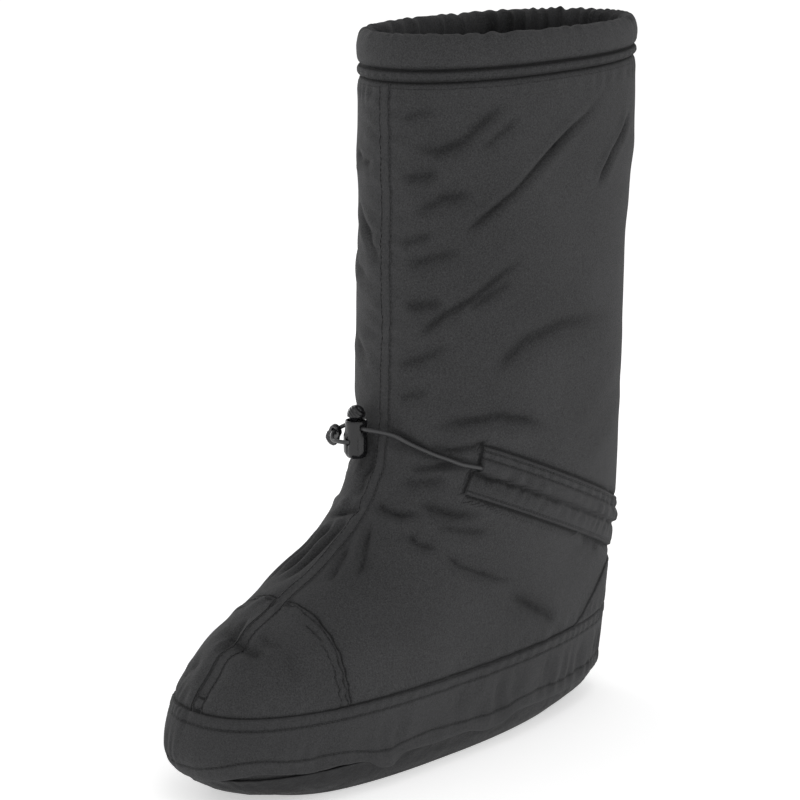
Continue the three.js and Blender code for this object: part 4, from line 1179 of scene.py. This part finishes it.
def rand_grid():
    """Rows up the outside from the hem to the folded top, then down the inside."""
    turn = np.linspace(0, 360, 720, endpoint=False)
    share = np.concatenate([[0, 0.01, 0.03], np.linspace(0.06, 0.93, 52), [0.955, 0.975, 0.99, 1.0]])
    hem = hem_height(turn)
    top = RAND_TOP + 0.6 * np.sin(np.radians(turn) * 3)
    z = hem[None] + (top - hem)[None] * share[:, None]
    under = 2.1 + (0.25 - 2.1) * smoothstep(z, LIP_TOP - 2, LIP_TOP + 7)
    ply = HEM_PLY + (PLY - HEM_PLY) * smoothstep(z, 24, 34)
    bottom = rounded((z - hem[None]) * 1.0)
    upper_edge = rounded((top[None] - z) * 1.0)
    rows = [z - 50, z - hem_height(turn, 6)[None] - 9.5]
    groove = 0.4 * np.exp(-((rows[0] / 0.8) ** 2)) + 0.4 * np.exp(-((rows[1] / 0.8) ** 2))
    gap = np.where(np.abs(rows[0]) < np.abs(rows[1]), *rows)
    marks = np.stack([gap * 2.2, 0.9 * (1 - smoothstep(np.abs(gap), 1, 2.5))], -1).reshape(-1, 2)
    blend_in = smoothstep(z, 44, 56)
    lean = relief(turn[None], z) * blend_in + rand_relief(turn[None], z) * (1 - 0.35 * blend_in)
    lean = lean * (0.25 + 0.75 * bottom)
    outer = at(turn[None], z, under + lean + ply * np.minimum(bottom, upper_edge) - groove)
    inner = at(turn[None], z, under + np.minimum(lean, 0) * 0.4 - 0.1)[::-1]
    return np.concatenate([outer, inner]), marks


rand_points, rand_marks = rand_grid()
rand = surface("rand_ply", rand_points, [COATED], wrap_rows=True)
mark_creases(rand.data, rand_marks)
worn(rand, "coated_nylon", "rand")

# %% [markdown]
# The sole is a flat tray of heavy coated cloth whose edge turns up round the foot. Its
# bottom stays exactly flat where it stands, and only the turned-up edge is wrinkled.

# %% Sole and insole
SOLE_THICKNESS = 6
SOLE_WALL = 1.5
SOLE_LIP = 20
TOE_SPRING = 2.5


def sole_grid():
    """Loops from the middle of the bottom out and up the edge, then down inside."""
    turn = np.linspace(0, 360, 480, endpoint=False)
    heights = SOLE_LIP * np.array([0, 0.03, 0.08, 0.15, 0.24, 0.34, 0.45, 0.56, 0.67, 0.78, 0.88, 0.95, 1.0])
    z = heights[:, None] + 0 * turn[None]
    wave = gather(np.radians(turn) * 150, 26, 0.6)[None] * gather(z * 3 + turn[None], 40, 1.0)
    crinkle = 0.7 * wave * smoothstep(z, 1, 8)
    edge = at(turn[None], z, (0.3 + SOLE_WALL) * np.minimum(1, z / SOLE_THICKNESS) + crinkle * 0.6)
    start = 0.27 * FOOT_LENGTH
    lift = TOE_SPRING * np.maximum(0, (-edge[..., 1] - start) / 43.4) ** 2
    edge[..., 2] += lift * np.maximum(0, 1 - z / SOLE_THICKNESS)
    bottom = skin(turn, np.zeros_like(turn))
    flat = np.stack([bottom * (share, share, 0) for share in (0.06, 0.3, 0.55, 0.75, 0.9)])
    toe_rise = TOE_SPRING * np.maximum(0, (-flat[..., 1] - start) / 43.4) ** 2
    flat[..., 2] = toe_rise
    inside = np.stack([at(turn, np.full_like(turn, height), np.full_like(turn, 0.3))
                       for height in (SOLE_LIP, 14, 9, SOLE_THICKNESS)])
    floor = at(turn, np.full_like(turn, SOLE_THICKNESS), np.full_like(turn, 0.3))
    floors = np.stack([floor * (share, share, 1) for share in (0.8, 0.4, 0.06)])
    return np.concatenate([flat, edge, inside, floors])


sole = surface("sole_tray", sole_grid(), [SOLE_CLOTH], caps=(True, True))
worn(sole, "coated_nylon", "sole")


def insole_grid():
    """A thin pad: a rounded rim round the foot's own oval, domed in the middle."""
    turn = np.linspace(0, 360, 240, endpoint=False)
    base = SOLE_THICKNESS + 0.3
    rim = [(base, 6.2), (base + 1.2, 5.3), (base + 3.4, 5.2), (base + 4.6, 5.8)]
    edge = [at(turn, np.full_like(turn, height), np.full_like(turn, -inset)) for height, inset in rim]
    top = at(turn, np.full_like(turn, base + 5), np.full_like(turn, -8.0))
    under = [edge[0] * (share, share, 1) for share in (0.05, 0.5)]
    over = [top * (share, share, 1) for share in (1, 0.8, 0.55, 0.3, 0.05)]
    return np.stack([*under, *edge, *over])


insole = surface("insole_pad", insole_grid(), [LINING], caps=(True, True))
worn(insole, "lining", "insole")

# %% [markdown]
# The collar is a puffy casing round the rim, with a hidden drawcord that gathers it. A
# closed profile carried round the boot gives the tube; upright folds, strong on the inside
# and weak outside, gather it. A narrow flat rib with two seams joins it to the shaft.

# %% Collar
COLLAR_PADDING = 4.5
# up and out as shares of the collar's height and padding, then how much the folds move it
COLLAR_PROFILE = np.array([
    (0.00, -0.42, 0.0), (0.025, -0.1, 0.1), (0.07, 0.10, 0.15), (0.14, 0.14, 0.15), (0.20, 0.04, 0.15),
    (0.235, -0.36, 0.1), (0.265, -0.42, 0.1), (0.305, -0.04, 0.2), (0.39, 0.16, 0.25), (0.52, 0.24, 0.3),
    (0.64, 0.24, 0.4), (0.76, 0.12, 0.5), (0.86, -0.04, 0.7), (0.93, -0.28, 0.9), (0.98, -0.62, 1.1),
    (1.00, -1.05, 1.3), (0.98, -1.45, 1.5), (0.93, -1.85, 1.8), (0.84, -2.1, 2.0), (0.70, -2.25, 2.0),
    (0.52, -2.2, 1.8), (0.34, -1.95, 1.4), (0.18, -1.5, 0.8), (0.05, -1.05, 0.1),
])
TOP_ROW = 15


def collar_grid():
    """The profile, smoothed, at each turn; folds push it in and out and nick the rim."""
    turn = np.linspace(0, 360, 640, endpoint=False)
    steps = 5
    dense = smooth_path(np.vstack([COLLAR_PROFILE, COLLAR_PROFILE[:1]]), steps)[:-1]
    up, out, loose = dense.T
    foot = collar_foot(turn) - 0.5
    rim = BOOT_HEIGHT + 2.2 - 1.6 * RIM_DROP * (1 + np.cos(np.radians(turn))) / 2
    arc = np.radians(turn) * 82
    folds = gather(arc, 15.5, 0.3) * (0.55 + 0.45 * gather(arc, 90, 1.7))
    small = gather(arc, 7.9, 1.9) * (0.5 + 0.5 * gather(arc, 57, 0.4))
    wide = gather(arc, 41, 2.6)
    inward = smoothstep(-out, 0.9, 1.6)[:, None]
    deep = (1.9 * folds + 0.5 * small + 1.1 * wide)[None]
    mild = (0.55 * folds * (0.4 + 0.6 * wide) + 0.25 * small)[None]
    push = loose[:, None] * (inward * deep + (1 - inward) * mild)
    nick = 1.0 * folds * (0.5 + 0.5 * wide) + 0.6 * small
    z = foot[None] + up[:, None] * (rim - foot)[None] + smoothstep(up, 0.75, 1)[:, None] * nick[None]
    cells = 0.22 * gather(arc, 8, 0.8)[None] * np.exp(-(((up - 0.12) / 0.06) ** 2))[:, None]
    base = at(turn[None], np.full((len(up), len(turn)), WALL_TOP * 1.0), out[:, None] * COLLAR_PADDING + push + cells)
    base[..., 2] = z
    outside = np.arange(len(up))[:, None] < TOP_ROW * steps
    rows = [z - foot[None] - 0.255 * (rim - foot)[None], z - foot[None] - 0.4]
    gap = np.where(np.abs(rows[0]) < np.abs(rows[1]), *rows)
    strength = 1.2 * outside * (1 - smoothstep(np.abs(gap), 2, 4))
    # Inside, the marks paint shade in the troughs of the deep folds.
    trough = inward * np.clip(-deep / 2.2, 0, 1)
    gap, strength = np.where(outside, gap, 0), np.where(outside, strength, trough)
    return base, np.stack([gap, strength], -1).reshape(-1, 2)


collar_points, collar_marks = collar_grid()
collar = surface("collar_casing", collar_points, [SHELL], wrap_rows=True)
mark_creases(collar.data, collar_marks)
worn(collar, "shell_nylon", "collar")

# %% [markdown]
# The lock is a small moulded barrel with a spring button. The barrel is turned on a lathe
# in code: a profile carried round its axis, with its radius swelling into a rib on each
# side. Holes for the cord are cut with Boolean modifiers, as a drill would.

# %% Barrel
PRESS_TRAVEL = 4


def lathe(name, profile, sides, finish, swell=None, wrap=False):
    """Radius and height pairs carried round the lock's axis; swell adds to the radius."""
    radius, height = np.array(profile, float).T
    angle = np.linspace(0, 2 * np.pi, sides, endpoint=False)
    size = radius[:, None] + (0 if swell is None else swell(angle[None], height[:, None], radius[:, None]))
    grid = np.stack(np.broadcast_arrays(size * np.cos(angle), size * np.sin(angle), height[:, None]), -1)
    return surface(name, in_lock(grid.reshape(-1, 3)).reshape(grid.shape), [finish], wrap_rows=wrap,
                   caps=(not wrap, not wrap))


def barrel_swell(angle, height, radius):
    """Two side ribs, thin and upright, a fuller lobe towards the loop, upright grooves."""
    outside = smoothstep(radius, 5.0, 6.4)
    band_of = smoothstep(height, 1.5, 4.0) * (1 - smoothstep(height, 14.5, 16.7))
    ribs = 1.5 * np.exp(-(((np.abs(np.cos(angle)) - 1) / 0.035) ** 2))
    around = np.mod(angle, 2 * np.pi)
    lobe = 1.0 * np.exp(-(((around - 3.9) / 0.42) ** 2))
    grooves = sum(0.7 * np.exp(-(((around - place) / 0.11) ** 2)) for place in (0.3, 4.75, 5.98))
    return (ribs + lobe - grooves) * outside * band_of


def cut(piece, start, end, radius):
    """Drills the piece from start to end, both in the lock's own frame."""
    path = in_lock([start, end])
    drill = tube("drill", evenly(path, 1.0), radius, PLASTIC)
    modifier = piece.modifiers.new("drill", "BOOLEAN")
    modifier.operation = "DIFFERENCE"
    modifier.solver = "EXACT"
    modifier.object = drill
    graph = bpy.context.evaluated_depsgraph_get()
    data = bpy.data.meshes.new_from_object(piece.evaluated_get(graph))
    piece.modifiers.clear()
    piece.data = data
    bpy.data.objects.remove(drill)


outside_profile = [(0.3, 0), (3.2, 0), (4.2, 0.1), (5.2, 0.5), (6.0, 1.3), (6.5, 2.4), (6.8, 3.6)]
outside_profile += [(6.8, z) for z in (6, 9, 12, 14, 16, 18, 20, 21.5, 22.5)]
cup_profile = [(6.7, 23.0), (6.45, 23.35), (6.1, 23.4), (5.9, 23.2), (5.8, 22.8), (5.8, 21.6), (5.6, 21.2)]
bore_profile = [(4.7, 21.2), (4.4, 21.0), (4.3, 20.6), (4.3, 12), (4.3, 6), (4.3, 3.4), (3.9, 3), (2, 3), (0.3, 3)]
outside_profile += cup_profile + bore_profile
barrel = lathe("lock_barrel_body", outside_profile, 96, PLASTIC, barrel_swell)
cut(barrel, (-11, 0, HOLE_HEIGHT), (11, 0, HOLE_HEIGHT), CORD_DIAMETER / 2 + 0.35)
cut(barrel, (-11, 2.8, ENTRY_HEIGHT), (-2, 2.8, ENTRY_HEIGHT), CORD_DIAMETER / 2 + 0.35)
cut(barrel, (-0.9, -9.5, RETURN_HEIGHT), (2.3, -3, RETURN_HEIGHT), CORD_DIAMETER / 2 + 0.5)
worn(barrel, "lock_plastic", "lock_barrel")

# %% Button
def button_swell(angle, height, radius):
    """Slanting ribs across the dome, as parallel ridges cut by sloping planes."""
    tilt = height + 0.9 * radius * np.cos(angle - 0.7)
    on_dome = smoothstep(height, 25.8, 26.8) * smoothstep(radius, 0.6, 2.0)
    return 0.26 * on_dome * np.sin(2 * np.pi * tilt / 2.1)


dome = [(5.5 * np.cos(a), 26.3 + 6.3 * np.sin(a)) for a in np.linspace(0, 1.5, 30)]
button_profile = [(0.3, 9.4), (3.7, 9.4), (4.0, 9.8), (4.0, 12), (4.0, 20), (4.0, 24.9), (4.3, 25.4)]
button_profile += [(5.0, 25.5), (5.4, 25.7), *dome]
button = lathe("lock_button_dome", button_profile, 72, PLASTIC, button_swell)
for rise in np.linspace(0, PRESS_TRAVEL, 4):
    cut(button, (-6, 0, HOLE_HEIGHT + rise), (6, 0, HOLE_HEIGHT + rise), CORD_DIAMETER / 2 + 0.3)
worn(button, "lock_plastic", "lock_button", body=BUTTON_BODY)

# %% [markdown]
# Stitches are modelled, because a seam without thread looks printed. One stitch is a small
# spindle with a few dozen faces. All the stitches of a seam are copies of it, moved and
# turned as whole arrays, in one mesh.

# %% Stitches
STITCH_LENGTH = 2.5
STITCH_PITCH = 3.3
STITCH_RADIUS = 0.32


def spindle():
    """One stitch along x: rings that swell and shrink, closed by a tip at each end."""
    share = np.array([-1, -0.7, 0, 0.7, 1.0])
    size = np.array([0.25, 0.85, 1.0, 0.85, 0.25]) * STITCH_RADIUS
    angle = np.linspace(0, 2 * np.pi, 6, endpoint=False)
    x = np.repeat(share * STITCH_LENGTH / 2, 6)
    y = (size[:, None] * np.cos(angle)).ravel()
    z = (size[:, None] * np.sin(angle)).ravel()
    return np.stack([x, y, z], -1)


def stitch_row(turn, z, stand):
    """Middle, direction and outward way of each stitch along a line on the cloth."""
    place = dressed(turn, z, stand)
    length = np.concatenate([[0], np.cumsum(np.linalg.norm(np.diff(place, axis=0), axis=1))])
    middles = np.arange(STITCH_PITCH / 2, length[-1], STITCH_PITCH)

    def pick(values):
        return np.stack([np.interp(middles, length, values[:, i]) for i in range(3)], -1)

    return pick(place), unit(pick(np.gradient(place, axis=0))), unit(pick(outward(turn, z)))


def stitches(name, rows, slot_name):
    """All the stitches of some rows as one mesh of copied spindles."""
    middle, along, out = [np.concatenate(part) for part in zip(*rows)]
    side = unit(np.cross(out, along))
    out = np.cross(along, side)
    shape = spindle()
    points = middle[:, None] + shape[None, :, :1] * along[:, None] + shape[None, :, 1:2] * side[:, None]
    points = points + shape[None, :, 2:] * out[:, None]
    ring = np.arange(6)
    quads = np.concatenate([np.stack([k * 6 + ring, (k + 1) * 6 + ring, (k + 1) * 6 + (ring + 1) % 6,
                                      k * 6 + (ring + 1) % 6], -1) for k in range(4)])
    ends = np.stack([ring[::-1], 24 + ring])
    offset = (np.arange(len(middle)) * len(shape))[:, None, None]
    faces = [(quads[None, :, ::-1] + offset).reshape(-1, 4), (ends[None, :, ::-1] + offset).reshape(-1, 6)]
    uvs = [np.zeros((len(block), block.shape[1], 2)) for block in faces]
    made = mesh_object(name, points.reshape(-1, 3), faces, uvs, [THREAD_FINISH])
    return worn(made, slot_name)


def line(turn, z, count=400):
    """A row from listed places, filled in evenly."""
    share = np.linspace(0, 1, len(turn))
    fine = np.linspace(0, 1, count)
    return np.interp(fine, share, turn), np.interp(fine, share, z)


front_rows = []
heights = even_heights(RAND_TOP + 2, WALL_TOP - 3, 900, turns=(0,))
for x in (-3.6, 3.6):
    front_rows.append(stitch_row(turn_beside(x, heights), heights, 0.55))
for height in (RAND_TOP + 2.2, RAND_TOP + 9.5):
    x = np.linspace(-4.2, 4.2, 60)
    z_row = np.full_like(x, height)
    front_rows.append(stitch_row(turn_beside(x, z_row), z_row, 0.6))
stitches("front_seam_stitches", front_rows, "shell_nylon")

round_turn = np.linspace(0, 360, 1441)
rand_rows = []
for height, stand in ((54.4, 1.2), (50.0, 0.95)):
    rand_rows.append(stitch_row(round_turn, np.full_like(round_turn, height), stand))


def on_rand(turn, z):
    """A row along the rand, where its own gathers and hem offset move it."""
    under = 2.1 + (0.25 - 2.1) * smoothstep(z, LIP_TOP - 2, LIP_TOP + 7)
    ply = HEM_PLY + (PLY - HEM_PLY) * smoothstep(z, 24, 34)
    blend_in = smoothstep(z, 44, 56)
    lean = relief(turn, z) * blend_in + rand_relief(turn, z) * (1 - 0.35 * blend_in)
    return under + ply + lean - 0.4 - relief(turn, z)


rand_rows = []
for z_row in (np.full_like(round_turn, 54.2), np.full_like(round_turn, 50.0), hem_height(round_turn, 6) + 9.5):
    rand_rows.append(stitch_row(round_turn, z_row, on_rand(round_turn, z_row)))
stitches("rand_stitches", rand_rows, "coated_nylon")

toe_rows = []
for side in (1, -1):
    for y, stand in [(-TOE_SEAM - row / 1.2, 0.4) for row in TOE_ROWS]:
        z_row = np.linspace(RAND_TOP + 1, 112, 260)
        z_row = z_row[skin(0, z_row)[:, 1] < y - 0.4]
        turn_row = turn_at(y, z_row)
        keep = np.abs(skin(turn_row, z_row)[:, 0]) > SEAM_HALF
        turn_row, z_row = turn_row[keep], z_row[keep]
        toe_rows.append(stitch_row(turn_row if side > 0 else 360 - turn_row, z_row, stand))
stitches("toe_stitches", toe_rows, "shell_nylon")

band_rows = []
band_turn = np.linspace(BAND_START + 0.6, 360 - BAND_START - 0.6, 1200)
for up, stand in ((2.4, 1.0), (25.9, 1.1), (30.8, 1.0)):
    band_rows.append(stitch_row(band_turn, slant_height(band_turn, BAND_LEVEL + up), stand))
stitches("ankle_band_stitches", band_rows, "shell_nylon")

counter_rows = []
v = np.linspace(0.05, 0.95, 120)
for side in (1, -1):
    turn_row = turn_at(COUNTER_TOP_Y - COUNTER_LENGTH * (1 - v) + 3, RAND_TOP + 28 * v)
    counter_rows.append(stitch_row(turn_row if side > 0 else 360 - turn_row, RAND_TOP + 28 * v, 0.95))
turn_row = np.linspace(150, 210, 300)
counter_rows.append(stitch_row(turn_row, np.full_like(turn_row, COUNTER_HEIGHT - 3.0), 0.95))
stitches("heel_counter_stitches", counter_rows, "shell_nylon")

# %% [markdown]
# A product picture is lit softly from all sides. A pale world, a little darker overhead,
# does most of that, and large lamps at the sides draw the pale rims on the cloth. The
# floor is a wide pale disc.

# %% Floor and light
def make_floor(radius=40.0):
    """A flat disc a little below the sole's plane."""
    angle = np.linspace(0, 2 * np.pi, 64, endpoint=False)
    ring = np.stack([radius * np.cos(angle), radius * np.sin(angle), np.full(64, -0.0002)], -1)
    data = bpy.data.meshes.new("floor")
    data.from_pydata(ring.tolist(), [], [list(range(64))])
    floor = bpy.data.objects.new("floor", data)
    bpy.context.scene.collection.objects.link(floor)
    pale = Finish("floor", Roughness=0.9, Specular_IOR_Level=0.1, Emission_Strength=0.48)
    pale.shader.inputs["Emission Color"].default_value = (1, 1, 1, 1)
    soft = pale.noise(pale.coordinates("Object"), 0.6)
    data.materials.append(pale.finish(Base_Color=pale.blend(soft, (0.90, 0.90, 0.90), (0.92, 0.92, 0.92))))


def lamp(name, place, size, watts):
    """A square area lamp that faces the middle of the boot."""
    data = bpy.data.lights.new(name, "AREA")
    data.size = size
    data.energy = watts
    made = bpy.data.objects.new(name, data)
    bpy.context.scene.collection.objects.link(made)
    made.location = place
    made.rotation_mode = "QUATERNION"
    made.rotation_quaternion = (Vector((0, 0.02, 0.22)) - Vector(place)).to_track_quat("-Z", "Y")


make_floor()
lamp("left_softbox", (-1.95, 0.3, 0.6), 1.0, 9)
lamp("right_softbox", (2.0, 0.9, 1.0), 1.4, 3)
lamp("top_softbox", (0.5, -0.3, 2.0), 1.0, 4)
world = bpy.data.worlds.new("studio")
world.use_nodes = True
sky = world.node_tree
where = sky.nodes.new("ShaderNodeTexCoord")
parts = sky.nodes.new("ShaderNodeSeparateXYZ")
fall = sky.nodes.new("ShaderNodeMapRange")
for socket, value in (("From Min", 0.0), ("From Max", 1.0), ("To Min", 1.0), ("To Max", 0.45)):
    fall.inputs[socket].default_value = value
sky.links.new(where.outputs["Generated"], parts.inputs[0])
sky.links.new(parts.outputs["Z"], fall.inputs["Value"])
sky.links.new(fall.outputs[0], sky.nodes["Background"].inputs["Color"])
sky.nodes["Background"].inputs["Strength"].default_value = 0.98
bpy.context.scene.world = world
bpy.context.scene.view_settings.view_transform = "Standard"
